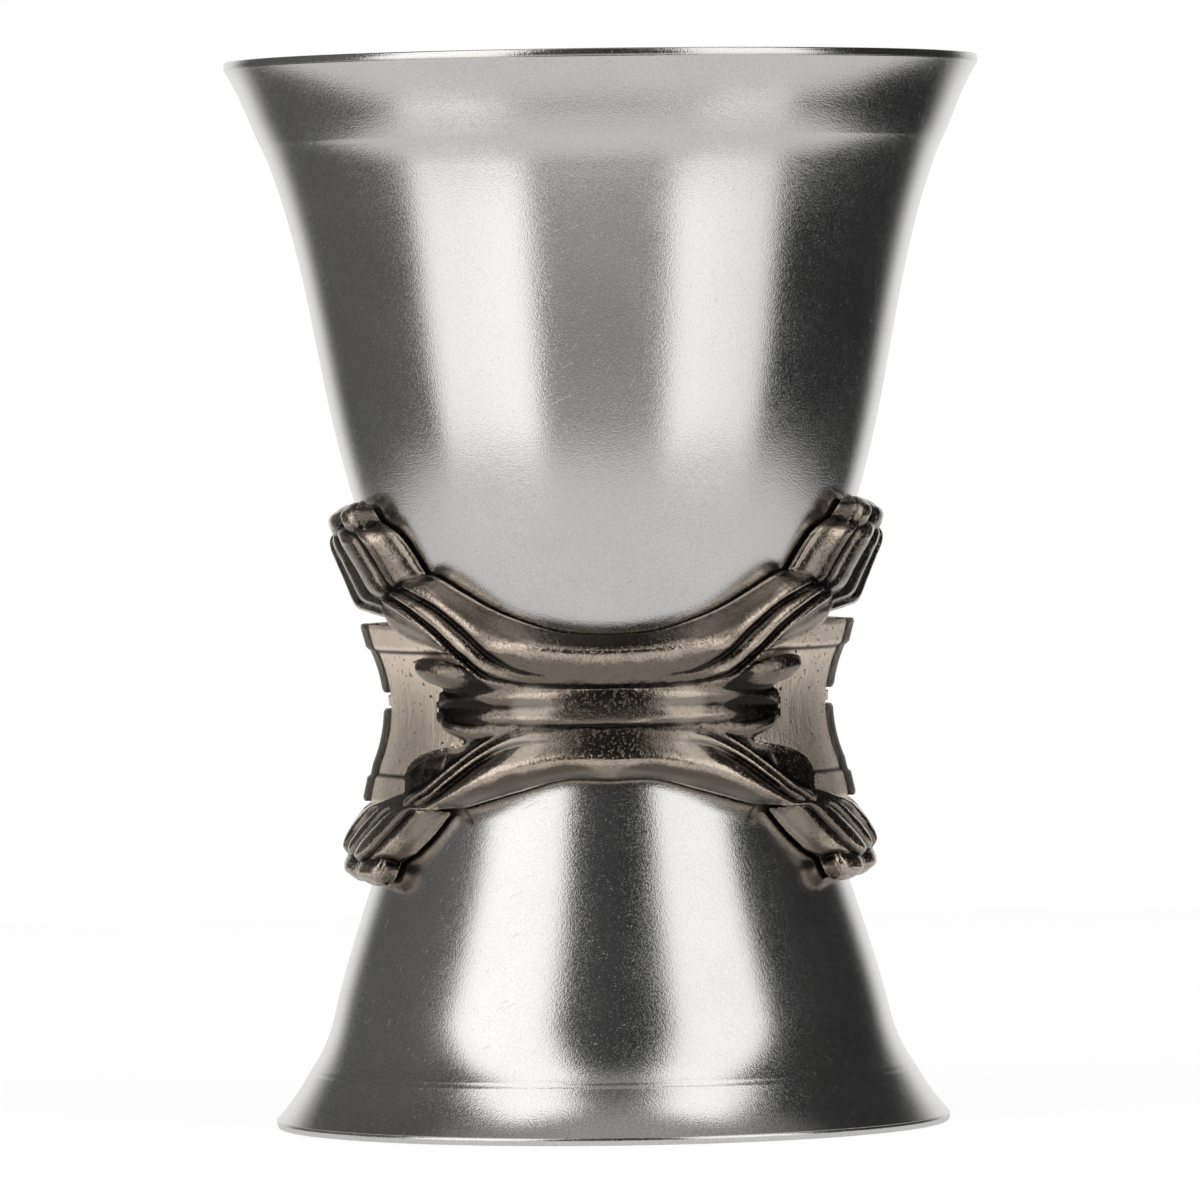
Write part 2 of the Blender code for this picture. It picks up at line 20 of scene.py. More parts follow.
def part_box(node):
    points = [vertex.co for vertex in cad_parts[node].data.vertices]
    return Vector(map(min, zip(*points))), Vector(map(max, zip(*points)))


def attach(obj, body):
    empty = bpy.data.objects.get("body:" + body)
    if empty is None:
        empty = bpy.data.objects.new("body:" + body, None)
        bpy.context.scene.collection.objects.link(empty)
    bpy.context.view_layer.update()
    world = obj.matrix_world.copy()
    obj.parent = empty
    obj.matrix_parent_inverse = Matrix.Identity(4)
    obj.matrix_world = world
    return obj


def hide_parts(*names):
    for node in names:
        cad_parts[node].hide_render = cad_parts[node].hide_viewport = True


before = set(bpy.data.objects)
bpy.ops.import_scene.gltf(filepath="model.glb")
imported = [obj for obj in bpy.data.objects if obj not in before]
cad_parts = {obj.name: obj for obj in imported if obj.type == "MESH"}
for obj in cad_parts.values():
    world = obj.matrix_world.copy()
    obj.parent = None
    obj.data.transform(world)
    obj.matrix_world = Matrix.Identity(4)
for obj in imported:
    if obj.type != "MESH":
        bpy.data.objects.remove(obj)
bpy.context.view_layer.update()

LOG = logging.getLogger("jigger")
MM = 0.001
BODY = "root"
SHARP_ANGLE = math.radians(40.0)
WELD = 0.001 * MM
FOOT_RADIUS = 14.2 * MM
FOOT_ROUND = 1.2 * MM
RIM_BAND = 0.6 * MM

Span = tuple[float, float]
Point = tuple[float, float, float]
Profile = list[tuple[float, float]]
Ring = list[Point]
Colour = tuple[float, float, float]


class Slot(Enum):
    """Material slots of the record."""

    CUP = "cup_metal"
    SOLDER = "solder"
    PANEL = "collar_panel"
    CAST = "collar_cast"


class Mouth(Enum):
    """The way a cup opens, as the sign of its heights along Z."""

    UP = 1.0
    DOWN = -1.0


class Turn(Enum):
    """Which of two equal castings a piece is, as its turn about the Z axis."""

    AS_DRAWN = 0.0
    HALF_ROUND = math.pi


def spaced(start: float, end: float, steps: int) -> list[float]:
    """Evenly spaced values.

    Args:
        start: First value.
        end: Last value.
        steps: Number of steps between them.

    Returns:
        The values, both ends included.
    """
    return [start + (end - start) * step / steps for step in range(steps + 1)]


def smooth_step(value: float) -> float:
    """A soft ramp from 0 to 1 over the same span of values."""
    held = min(1.0, max(0.0, value))
    return held * held * (3.0 - 2.0 * held)


def smooth_rows(rows: np.ndarray, per_span: int) -> np.ndarray:
    """Rows of numbers along a smooth curve through the given rows.

    Args:
        rows: One row of numbers for each drawn section.
        per_span: Number of steps between two drawn sections.

    Returns:
        The rows of the curve, from the first drawn row to the last.
    """
    padded = np.vstack([2 * rows[0] - rows[1], rows, 2 * rows[-1] - rows[-2]])
    found = [rows[0]]
    for before, start, end, after in zip(padded, padded[1:], padded[2:], padded[3:]):
        for step in range(1, per_span + 1):
            share = step / per_span
            slope_in, slope_out = (end - before) / 2, (after - start) / 2
            square, cube = share**2, share**3
            found.append(
                (2 * cube - 3 * square + 1) * start
                + (cube - 2 * square + share) * slope_in
                + (3 * square - 2 * cube) * end
                + (cube - square) * slope_out
            )
    return np.array(found)


def add_object(
    name: str, mesh: bpy.types.Mesh, material: bpy.types.Material | None = None
) -> bpy.types.Object:
    """Put a mesh in the scene.

    Args:
        name: Name of the object.
        mesh: Its mesh.
        material: Its finish, if the mesh has none yet.

    Returns:
        The object.
    """
    if material is not None:
        mesh.materials.clear()
        mesh.materials.append(material)
    item = bpy.data.objects.new(name, mesh)
    bpy.context.scene.collection.objects.link(item)
    return item


def close_mesh(builder: bmesh.types.BMesh, name: str) -> bpy.types.Mesh:
    """A smooth mesh from a bmesh, with its faces turned outwards.

    Args:
        builder: The bmesh, which is freed.
        name: Name of the mesh.

    Returns:
        The mesh.
    """
    bmesh.ops.recalc_face_normals(builder, faces=builder.faces)
    mesh = bpy.data.meshes.new(name)
    builder.to_mesh(mesh)
    builder.free()
    mesh.shade_smooth()
    mesh.set_sharp_from_angle(angle=SHARP_ANGLE)
    return mesh


def loft(builder: bmesh.types.BMesh, rings: Sequence[Ring]) -> None:
    """Add a closed solid through rings of points, with a face across each end.

    Args:
        builder: The bmesh to add to.
        rings: Rings with the same number of points each.
    """
    loops = [[builder.verts.new(point) for point in ring] for ring in rings]
    for near, far in zip(loops, loops[1:]):
        for index in range(len(near)):
            following = (index + 1) % len(near)
            builder.faces.new((near[index], near[following], far[following], far[index]))
    ends = [builder.faces.new(loops[0][::-1]), builder.faces.new(loops[-1])]
    bmesh.ops.triangulate(builder, faces=ends, ngon_method="EAR_CLIP")


def lofted(name: str, rings: Sequence[Ring]) -> bpy.types.Object:
    """An object made of one loft.

    Args:
        name: Name of the object.
        rings: Rings of the loft.

    Returns:
        The object.
    """
    builder = bmesh.new()
    loft(builder, rings)
    return add_object(name, close_mesh(builder, name))


def carried_out(item: bpy.types.Object) -> bpy.types.Mesh:
    """The mesh of an object with its modifiers carried out, and the object taken away.

    Args:
        item: The object.

    Returns:
        The finished mesh, named as the object was.
    """
    depsgraph = bpy.context.evaluated_depsgraph_get()
    mesh = bpy.data.meshes.new_from_object(item.evaluated_get(depsgraph))
    name = item.name
    bpy.data.objects.remove(item, do_unlink=True)
    mesh.name = name
    return mesh


def vertex_vectors(mesh: bpy.types.Mesh, name: str) -> np.ndarray:
    """A vector of each vertex of a mesh.

    Args:
        mesh: The mesh.
        name: What to read: co for the places, normal for the normals.

    Returns:
        One row for each vertex.
    """
    values = np.empty(len(mesh.vertices) * 3)
    mesh.vertices.foreach_get(name, values)
    return values.reshape(-1, 3)


def mark(mesh: bpy.types.Mesh, name: str, values: Sequence[float] | np.ndarray) -> None:
    """Store a number for each vertex of a mesh.

    Args:
        mesh: The mesh.
        name: Name of the attribute.
        values: The numbers.
    """
    mesh.attributes.new(name, "FLOAT", "POINT").data.foreach_set("value", values)


def enrol(piece: bpy.types.Object, slot: Slot) -> None:
    """Put a finished piece on the body, in place of the solid of its name.

    Args:
        piece: The piece, named with its node's name and a suffix.
        slot: The record's material slot.
    """
    node = piece.name.removesuffix("_skin")
    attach(piece, BODY)
    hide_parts(node)
    LOG.info("%s: %d faces in slot %s", piece.name, len(piece.data.polygons), slot.value)


class NodeSketch:
    """A node tree that is drawn node by node."""

    def __init__(self, tree: bpy.types.NodeTree) -> None:
        """Start on a tree.

        Args:
            tree: A geometry or shader node tree.
        """
        self.tree = tree

    def add(self, kind: str, inputs: dict[Any, Any] | None = None, **settings: Any) -> bpy.types.Node:
        """Add a node.

        Args:
            kind: The node's type.
            inputs: Sockets by name or number, each with a value or with the socket that feeds it.
            **settings: The node's own settings.

        Returns:
            The node.
        """
        node = self.tree.nodes.new(kind)
        for name, value in settings.items():
            setattr(node, name, value)
        for key, value in (inputs or {}).items():
            if isinstance(value, bpy.types.NodeSocket):
                self.tree.links.new(value, node.inputs[key])
            else:
                node.inputs[key].default_value = value
        return node

    def maths(self, operation: str, first: Any, second: Any = 0.0, third: Any = 0.0) -> bpy.types.NodeSocket:
        """The result of a Math node.

        Args:
            operation: The node's operation.
            first: First value or socket.
            second: Second value or socket.
            third: Third value or socket.

        Returns:
            The result's socket.
        """
        return self.add("ShaderNodeMath", {0: first, 1: second, 2: third}, operation=operation).outputs[0]


class TreeKit:
    """A geometry node tree with named inputs, which shapes a drawn line into a piece."""

    def __init__(self, name: str, inputs: dict[str, str]) -> None:
        """Make the tree with its sockets.

        Args:
            name: Name of the tree.
            inputs: Socket type of each named input.
        """
        self.tree = bpy.data.node_groups.new(name, "GeometryNodeTree")
        self.sketch = NodeSketch(self.tree)
        interface = self.tree.interface
        interface.new_socket("Geometry", in_out="INPUT", socket_type="NodeSocketGeometry")
        self.identifiers = {
            title: interface.new_socket(title, in_out="INPUT", socket_type=kind).identifier
            for title, kind in inputs.items()
        }
        interface.new_socket("Geometry", in_out="OUTPUT", socket_type="NodeSocketGeometry")
        self.given = self.sketch.add("NodeGroupInput").outputs

    def grid(self, rows: Any, columns: Any) -> tuple[bpy.types.NodeSocket, Any, Any]:
        """A sheet of vertices, with the row and the column of each.

        Args:
            rows: Number of rows.
            columns: Number of columns.

        Returns:
            The sheet, and the row and column of a vertex.
        """
        sketch = self.sketch
        sheet = sketch.add("GeometryNodeMeshGrid", {"Vertices X": rows, "Vertices Y": columns})
        index = sketch.add("GeometryNodeInputIndex").outputs[0]
        row = sketch.maths("FLOOR", sketch.maths("DIVIDE", index, columns))
        column = sketch.maths("SUBTRACT", index, sketch.maths("MULTIPLY", row, columns))
        return sheet.outputs["Mesh"], row, column

    def line_sample(
        self, row: bpy.types.NodeSocket, value: bpy.types.NodeSocket, kind: str
    ) -> bpy.types.NodeSocket:
        """A value of the drawn line at a row of the sheet.

        Args:
            row: The row's number.
            value: The field to read.
            kind: The field's data type.

        Returns:
            The value's socket.
        """
        node = self.sketch.add(
            "GeometryNodeSampleIndex",
            {"Geometry": self.given["Geometry"], "Value": value, "Index": row},
            data_type=kind,
            domain="POINT",
        )
        return node.outputs[0]

    def line_length(self) -> bpy.types.NodeSocket:
        """The number of points of the drawn line."""
        line = {"Geometry": self.given["Geometry"]}
        node = self.sketch.add("GeometryNodeAttributeDomainSize", line, component="MESH")
        return node.outputs["Point Count"]

    def swung(self, point: Any, angle: Any) -> bpy.types.NodeSocket:
        """A point swung about the Z axis.

        Args:
            point: The point's socket.
            angle: The angle's socket, in radians.

        Returns:
            The swung point.
        """
        inputs = {"Vector": point, "Angle": angle}
        return self.sketch.add("ShaderNodeVectorRotate", inputs, rotation_type="Z_AXIS").outputs[0]

    def finish(self, sheet: Any, position: Any, weld: Any) -> None:
        """End the tree: place the sheet, weld its seams, and give it the material.

        Args:
            sheet: The sheet of vertices.
            position: The place of each vertex.
            weld: Distance at which vertices are welded.
        """
        sketch = self.sketch
        placed = sketch.add("GeometryNodeSetPosition", {"Geometry": sheet, "Position": position})
        welded = sketch.add("GeometryNodeMergeByDistance", {"Geometry": placed.outputs[0], "Distance": weld})
        smooth = sketch.add("GeometryNodeSetShadeSmooth", {"Geometry": welded.outputs[0]})
        real = sketch.add("GeometryNodeRealizeInstances", {"Geometry": smooth.outputs[0]})
        dressed = sketch.add(
            "GeometryNodeSetMaterial", {"Geometry": real.outputs[0], "Material": self.given["Material"]}
        )
        sketch.add("NodeGroupOutput", {"Geometry": dressed.outputs[0]})

    def shape(self, name: str, line: bpy.types.Mesh, values: dict[str, Any]) -> bpy.types.Object:
        """Run the tree on a drawn line.

        Args:
            name: Name of the finished piece.
            line: The drawn line.
            values: The value of each named input.

        Returns:
            The piece, as a plain closed mesh.
        """
        drawing = add_object(f"{name}_line", line)
        modifier = drawing.modifiers.new(self.tree.name, "NODES")
        modifier.node_group = self.tree
        for title, value in values.items():
            modifier[self.identifiers[title]] = value
        material = values["Material"]
        mesh = carried_out(drawing)
        builder = bmesh.new()
        builder.from_mesh(mesh)
        open_edges = [edge for edge in builder.edges if edge.is_boundary]
        bmesh.ops.holes_fill(builder, edges=open_edges)
        bpy.data.meshes.remove(mesh)
        return add_object(name, close_mesh(builder, name), material)


class TurnedTree(TreeKit):
    """Turns a half section about the Z axis, as on a lathe."""

    def __init__(self) -> None:
        """Draw the tree."""
        super().__init__(
            "turned_on_axis",
            {"Segments": "NodeSocketInt", "Weld": "NodeSocketFloat", "Material": "NodeSocketMaterial"},
        )
        sketch = self.sketch
        columns = sketch.maths("ADD", self.given["Segments"], 1.0)
        sheet, row, column = self.grid(self.line_length(), columns)
        share = sketch.maths("DIVIDE", column, self.given["Segments"])
        angle = sketch.maths("MULTIPLY", share, 2.0 * math.pi)
        position = sketch.add("GeometryNodeInputPosition").outputs[0]
        point = self.line_sample(row, position, "FLOAT_VECTOR")
        self.finish(sheet, self.swung(point, angle), self.given["Weld"])


class ReededTree(TreeKit):
    """Bends the closed section of a tablet round the collar, with upright reeds on its face."""

    def __init__(self) -> None:
        """Draw the tree."""
        super().__init__(
            "reeded_tablet",
            {
                "Columns": "NodeSocketInt",
                "Half angle": "NodeSocketFloat",
                "Reeds": "NodeSocketInt",
                "Reed depth": "NodeSocketFloat",
                "Weld": "NodeSocketFloat",
                "Material": "NodeSocketMaterial",
            },
        )
        sketch, given = self.sketch, self.given
        sheet, row, column = self.grid(self.line_length(), given["Columns"])
        last = sketch.maths("SUBTRACT", given["Columns"], 1.0)
        share = sketch.maths("DIVIDE", column, last)
        angle = sketch.maths("MULTIPLY", sketch.maths("MULTIPLY_ADD", share, 2.0, -1.0), given["Half angle"])
        wave = sketch.maths("MULTIPLY", sketch.maths("MULTIPLY", share, given["Reeds"]), math.pi)
        trough = sketch.maths("SUBTRACT", 1.0, sketch.maths("ABSOLUTE", sketch.maths("SINE", wave)))
        position = sketch.add("GeometryNodeInputPosition").outputs[0]
        point = self.line_sample(row, position, "FLOAT_VECTOR")
        named = sketch.add("GeometryNodeInputNamedAttribute", {"Name": "face"}, data_type="FLOAT")
        on_face = self.line_sample(row, named.outputs[0], "FLOAT")
        sunk = sketch.maths("MULTIPLY", sketch.maths("MULTIPLY", trough, given["Reed depth"]), on_face)
        inward = sketch.add("ShaderNodeCombineXYZ", {"X": sketch.maths("MULTIPLY", sunk, -1.0)})
        carved = sketch.add("ShaderNodeVectorMath", {0: point, 1: inward.outputs[0]}, operation="ADD")
        self.finish(sheet, self.swung(carved.outputs[0], angle), given["Weld"])


@dataclass(frozen=True)
class Station:
    """A place on a cup's outer wall.

    It holds the height from the foot, the radius, the taper below and above it, and the depth of a line
    turned there.
    """

    height: float
    radius: float
    taper_below: float
    taper_above: float
    line: float = 0.0


@dataclass
class Cup:
    """A turned cup, drawn from its foot to its rim."""

    node: str
    mouth: Mouth
    stations: tuple[Station, ...]
    depth: float
    foot_z: float
    foot_round: float = FOOT_ROUND
    wall: float = 0.9 * MM
    floor: float = 1.3 * MM
    rim_break: float = 0.13 * MM
    rim_bulge: float = 0.05 * MM
    rim_groove: float = 0.05 * MM
    rim_bulge_start: float = 0.15
    wall_steps: int = 30
    round_steps: int = 8
    segments: int = 240

    def radius(self, height: float) -> float:
        """Outer radius at a height from the foot."""
        for low, high in zip(self.stations, self.stations[1:]):
            if height <= high.height:
                return self.between(low, high, height)
        return self.stations[-1].radius

    @staticmethod
    def between(low: Station, high: Station, height: float) -> float:
        """Radius on the smooth wall between two stations.

        Args:
            low: The station nearer the foot.
            high: The station nearer the rim.
            height: Height from the foot.

        Returns:
            The radius, which keeps both stations' tapers.
        """
        span = high.height - low.height
        share = max(0.0, (height - low.height) / span)
        square, cube = share**2, share**3
        return (
            (2 * cube - 3 * square + 1) * low.radius
            + (cube - 2 * square + share) * span * low.taper_above
            + (3 * square - 2 * cube) * high.radius
            + (cube - square) * span * high.taper_below
        )

    def bore(self, height: float) -> float:
        """Inner radius at a height from the foot, one wall in from the outside."""
        probe = self.wall / 4
        rise = self.radius(height + probe) - self.radius(height - probe)
        return self.radius(height) - self.wall * math.hypot(1.0, rise / (2 * probe))

    def corner(self, flat_radius: float, flat_height: float, wall_radius: float) -> Profile:
        """Points of the rounded corner between a flat floor and the wall that rises from it.

        Args:
            flat_radius: Radius at which the flat ends.
            flat_height: Height of the flat.
            wall_radius: Radius at which the wall starts.

        Returns:
            The points, without the wall's own first point.
        """
        points = []
        for step in range(self.round_steps):
            turn = math.pi / 2 * step / self.round_steps
            radius = flat_radius + (wall_radius - flat_radius) * math.sin(turn)
            points.append((radius, flat_height + self.foot_round * (1 - math.cos(turn))))
        return points

    def rim(self) -> Profile:
        """Points over the rim: a fine groove, a bulging band, and two softened edges."""
        rim_radius, band_foot = self.stations[-1].radius, self.stations[-1].height
        crown = self.depth - self.rim_break
        points = [(rim_radius - self.rim_groove, band_foot + self.rim_groove)]
        for share in spaced(self.rim_bulge_start, 1.0, self.round_steps):
            bulge = self.rim_bulge * (math.sin(math.pi * share) - 1.0)
            points.append((rim_radius + bulge, band_foot + (crown - band_foot) * share))
        edge = rim_radius - self.rim_bulge - self.rim_break
        for step in range(1, self.round_steps + 1):
            turn = math.pi / 2 * step / self.round_steps
            points.append((edge + self.rim_break * math.cos(turn), crown + self.rim_break * math.sin(turn)))
        inner = self.bore(crown)
        for step in range(self.round_steps + 1):
            turn = math.pi / 2 * step / self.round_steps
            lift = self.rim_break * math.cos(turn)
            points.append((inner + self.rim_break * (1 - math.sin(turn)), crown + lift))
        return points

    def profile(self) -> Profile:
        """Half section as (radius, height from the foot), round the outside and back down the inside."""
        heights, lines = [self.stations[0].height], [self.stations[0].line]
        for low, high in zip(self.stations, self.stations[1:]):
            heights += spaced(low.height, high.height, self.wall_steps)[1:]
            lines += [0.0] * (self.wall_steps - 1) + [high.line]
        bore_start = self.floor + self.foot_round
        bore_foot = self.bore(bore_start)
        bore_heights = [height for height in heights if height > bore_start]

        foot_radius = self.stations[0].radius
        points = [(0.0, 0.0)]
        points += self.corner(foot_radius - self.foot_round, 0.0, foot_radius)
        points += [(self.radius(height) - line, height) for height, line in zip(heights, lines)]
        points += self.rim()
        points += [(self.bore(height), height) for height in reversed(bore_heights)]
        points += [(bore_foot, bore_start)]
        points += self.corner(bore_foot - self.foot_round, self.floor, bore_foot)[::-1]
        points += [(0.0, self.floor)]
        return points

    def build(self, tree: TurnedTree, material: bpy.types.Material) -> bpy.types.Object:
        """Turn the cup.

        Args:
            tree: The lathe.
            material: The cup's finish.

        Returns:
            The cup.
        """
        return turned_piece(self.node, self.profile(), self.foot_z, self.mouth, self.segments, tree, material)


def turned_piece(
    node: str,
    profile: Profile,
    base_z: float,
    mouth: Mouth,
    segments: int,
    tree: TurnedTree,
    material: bpy.types.Material,
) -> bpy.types.Object:
    """A piece turned about the Z axis from a half section.

    Args:
        node: Name of the solid it stands for.
        profile: Half section as (radius, height).
        base_z: Level of height 0.
        mouth: Direction of the heights.
        segments: Number of facets round the axis.
        tree: The lathe.
        material: Its finish.

    Returns:
        The piece.
    """
    points = [(radius, 0.0, base_z + mouth.value * height) for radius, height in profile]
    line = bpy.data.meshes.new(f"{node}_section")
    line.from_pydata(points, [(index, index + 1) for index in range(len(points) - 1)], [])
    values = {"Segments": segments, "Weld": WELD, "Material": material}
    return tree.shape(f"{node}_skin", line, values)


@dataclass
class Waist:
    """The waist that the collar fits: both cups' feet, and the faces of the collar over them."""

    upper: Cup
    lower: Cup
    gap: float = 0.3 * MM
    shell_wall: float = 2.0 * MM
    hollow: float = 10.5 * MM
    shell_rise: float = 4.6 * MM
    shell_drop: float = 4.1 * MM
    panel_rise: float = 4.45 * MM
    panel_drop: float = 5.05 * MM
    rail_height: float = 1.85 * MM
    rail_proud: float = 0.2 * MM
    rail_half_angle: float = math.radians(46.0)
    edge_slant: float = 0.12 * MM
    bed_ramp: float = 0.35 * MM
    seat_taper: float = 0.09
    bevel_depth: float = 1.15 * MM
    bevel_start: float = 1.9 * MM
    bevel_full: float = math.radians(30.0)
    bevel_end: float = math.radians(40.0)

    @property
    def level(self) -> float:
        """Level of the waist plane."""
        return (self.upper.foot_z + self.lower.foot_z) / 2

    @property
    def rail_rise(self) -> float:
        """Rise of the top rail's top edge."""
        return self.panel_rise + self.rail_height

    @property
    def rail_drop(self) -> float:
        """Drop of the bottom rail's bottom edge."""
        return self.panel_drop + self.rail_height

    def cup_radius(self, rise: float) -> float:
        """Outer radius of the cups at a rise, with the space between their feet bridged."""
        above = self.level + rise - self.upper.foot_z
        below = self.lower.foot_z - self.level - rise
        if above > self.upper.foot_round:
            return self.upper.radius(above)
        if below > self.lower.foot_round:
            return self.lower.radius(below)
        return self.upper.stations[0].radius

    def hollow_radius(self, rise: float) -> float:
        """Radius of the shells' hollow outer face at a rise."""
        throat = self.upper.stations[0].radius + self.gap + self.shell_wall
        return throat + self.hollow - math.sqrt(self.hollow**2 - rise**2)

    def seat(self, rise: float) -> float:
        """Radius of the face that the leaves lie on: the shells' hollow, closing in on the cups beyond it."""
        edge = max(-self.shell_drop, min(self.shell_rise, rise))
        step = self.hollow_radius(edge) - self.cup_radius(edge)
        return self.cup_radius(rise) + step - self.seat_taper * abs(rise - edge)

    def rail(self, rise: float) -> float:
        """Height of the rails over the seat at a rise, with slanted edges."""
        over_panel = max(rise - self.panel_rise, -self.panel_drop - rise)
        return self.rail_proud * smooth_step(0.5 + over_panel / self.edge_slant)

    def bevel(self, angle: float, rise: float) -> float:
        """Depth by which the shells are pared away towards their edges, under the straps.

        Args:
            angle: Angle from the front.
            rise: Rise from the waist.

        Returns:
            The depth.
        """
        from_seam = min(abs(angle), math.pi - abs(angle))
        covered = smooth_step((self.bevel_end - from_seam) / (self.bevel_end - self.bevel_full))
        edge = self.shell_rise if rise > 0.0 else self.shell_drop
        share = min(1.0, max(0.0, (abs(rise) - self.bevel_start) / (edge - self.bevel_start)))
        return self.bevel_depth * covered * share

    def bed(self, angle: float, rise: float) -> float:
        """Radius of the face under the leaves: the shells with their rails, and the bare cups beyond.

        Args:
            angle: Angle round the collar.
            rise: Rise from the waist.

        Returns:
            The radius, clear of what lies below.
        """
        slack = self.gap / self.upper.stations[0].radius
        railed = abs(abs(angle) - math.pi / 2) < self.rail_half_angle + slack
        top = (self.rail_rise if railed else self.shell_rise) + self.gap
        bottom = (self.rail_drop if railed else self.shell_drop) + self.gap
        low = self.cup_radius(rise) + self.gap
        high = self.seat(rise) - self.bevel(angle, rise) + self.gap + (self.rail_proud if railed else 0.0)
        beyond = max(rise - top, -bottom - rise)
        return high + (low - high) * smooth_step(beyond / self.bed_ramp)

    def place(self, angle: float, radius: float, rise: float) -> Point:
        """A point of the collar.

        Args:
            angle: Angle from the front.
            radius: Distance from the axis.
            rise: Rise from the waist.

        Returns:
            The point.
        """
        return (radius * math.sin(angle), -radius * math.cos(angle), self.level + rise)


@dataclass
class SideTablet:
    """A reeded tablet let into a side panel."""

    level: str
    foot: float
    head: float
    waist: Waist
    half_angle: float = math.radians(8.5)
    proud: float = 0.4 * MM
    inlay: float = 0.9 * MM
    reeds: int = 3
    reed_depth: float = 0.22 * MM
    height_steps: int = 36
    columns_per_reed: int = 14
    edge: float = 0.12 * MM

    def section(self, growth: float) -> list[tuple[float, float, float]]:
        """Closed section of the tablet.

        Args:
            growth: How far it is grown on every side, for its pocket.

        Returns:
            Points as (radius, rise, share of the reeding), up the face and down the back.
        """
        foot, head = self.foot - growth, self.head + growth
        rises = spaced(foot, head, self.height_steps)
        points = []
        for rise in rises:
            margin = min(rise - foot, head - rise)
            softened = self.edge * (1 - smooth_step(margin / (2 * self.edge)))
            face = self.waist.seat(rise) + self.waist.rail(rise) + self.proud + growth - softened
            points.append((face, rise, smooth_step(margin / (4 * self.edge))))
        back_depth = self.inlay - self.waist.gap + growth
        points += [(self.waist.seat(rise) - back_depth, rise, 0.0) for rise in reversed(rises)]
        return points

    def pocket(self) -> list[Ring]:
        """Rings of the cutter that makes the pocket in a right-hand shell."""
        waist = self.waist
        half = self.half_angle + waist.gap / waist.upper.stations[0].radius
        outline = self.section(waist.gap)
        return [
            [waist.place(math.pi / 2 + turn, radius, rise) for radius, rise, _ in outline]
            for turn in spaced(-half, half, self.columns_per_reed)
        ]

    def build(
        self, side: str, turn: Turn, tree: ReededTree, material: bpy.types.Material
    ) -> bpy.types.Object:
        """Make the tablet of one side.

        Args:
            side: Name of the side.
            turn: Its turn about the axis.
            tree: The reeding tree.
            material: Its finish.

        Returns:
            The tablet.
        """
        outline = self.section(0.0)
        count = len(outline)
        points = [(radius, 0.0, self.waist.level + rise) for radius, rise, _ in outline]
        points.append(points[0])
        shares = [share for _, _, share in outline]
        shares.append(shares[0])
        line = bpy.data.meshes.new(f"{self.level}_tablet_section")
        line.from_pydata(points, [(index, index + 1) for index in range(count)], [])
        mark(line, "face", shares)
        values = {
            "Columns": self.reeds * self.columns_per_reed + 1,
            "Half angle": self.half_angle,
            "Reeds": self.reeds,
            "Reed depth": self.reed_depth,
            "Weld": WELD,
            "Material": material,
        }
        piece = tree.shape(f"{side}_{self.level}_tablet_skin", line, values)
        piece.data.transform(Matrix.Rotation(turn.value, 4, "Z"))
        return piece


@dataclass
class WaistShell:
    """Half of the spool-shaped casing round the waist, with rails over and under its panel."""

    waist: Waist
    tablets: tuple[SideTablet, ...]
    face_steps: int = 72
    bore_steps: int = 24
    angle_steps: int = 132
    rail_run_out: float = math.radians(0.6)

    def ring(self, angle: float) -> Ring:
        """The section of a right-hand shell at an angle."""
        waist = self.waist
        inside = waist.rail_half_angle - abs(angle - math.pi / 2)
        railed = smooth_step(inside / self.rail_run_out)
        top = waist.shell_rise + (waist.rail_rise - waist.shell_rise) * railed
        bottom = -waist.shell_drop - (waist.rail_drop - waist.shell_drop) * railed
        points = []
        for rise in spaced(top, bottom, self.face_steps):
            margin = min(top - rise, rise - bottom)
            softened = waist.edge_slant * (1 - smooth_step(margin / waist.edge_slant))
            radius = waist.seat(rise) - waist.bevel(angle, rise) + railed * waist.rail(rise) - softened
            points.append((radius, rise))
        bore_rises = spaced(bottom, top, self.bore_steps)
        points += [(waist.cup_radius(rise) + waist.gap, rise) for rise in bore_rises]
        return [waist.place(angle, radius, rise) for radius, rise in points]

    def build(self, materials: Sequence[bpy.types.Material]) -> list[bpy.types.Object]:
        """Make both shells, with pockets for their tablets.

        Args:
            materials: Finishes of the right and the left shell.

        Returns:
            The right and the left shell.
        """
        seam = math.asin(self.waist.gap / 2 / self.waist.upper.stations[0].radius)
        angles = spaced(seam, math.pi - seam, self.angle_steps)
        blank = lofted("shell_blank", [self.ring(angle) for angle in angles])
        cutters = [lofted("tablet_pocket", tablet.pocket()) for tablet in self.tablets]
        for cutter in cutters:
            cut = blank.modifiers.new(cutter.name, "BOOLEAN")
            cut.operation = "DIFFERENCE"
            cut.solver = "MANIFOLD"
            cut.object = cutter
        mesh = carried_out(blank)
        for cutter in cutters:
            bpy.data.objects.remove(cutter, do_unlink=True)
        return both_castings(("right_shell_skin", "left_shell_skin"), mesh, materials)


def both_castings(
    names: tuple[str, str], mesh: bpy.types.Mesh, materials: Sequence[bpy.types.Material]
) -> list[bpy.types.Object]:
    """Two equal castings from one mesh, the second turned half round the axis.

    Args:
        names: Names of the casting as drawn and of the one turned round.
        mesh: The mesh.
        materials: Their finishes.

    Returns:
        Both castings.
    """
    twin = mesh.copy()
    twin.transform(Matrix.Rotation(Turn.HALF_ROUND.value, 4, "Z"))
    pieces = [add_object(*each) for each in zip(names, (mesh, twin), materials)]
    for piece in pieces:
        piece.data.shade_smooth()
        piece.data.set_sharp_from_angle(angle=SHARP_ANGLE)
    return pieces


# Columns of a leaf's sections, as the class Leaf tells.
ANGLES = [0, 2]
LENGTHS = [1, 3, 4]
OUTER = slice(0, 2)
INNER = slice(2, 4)
RELIEF = 4
FLUTING = 5
CREASES = slice(6, None)


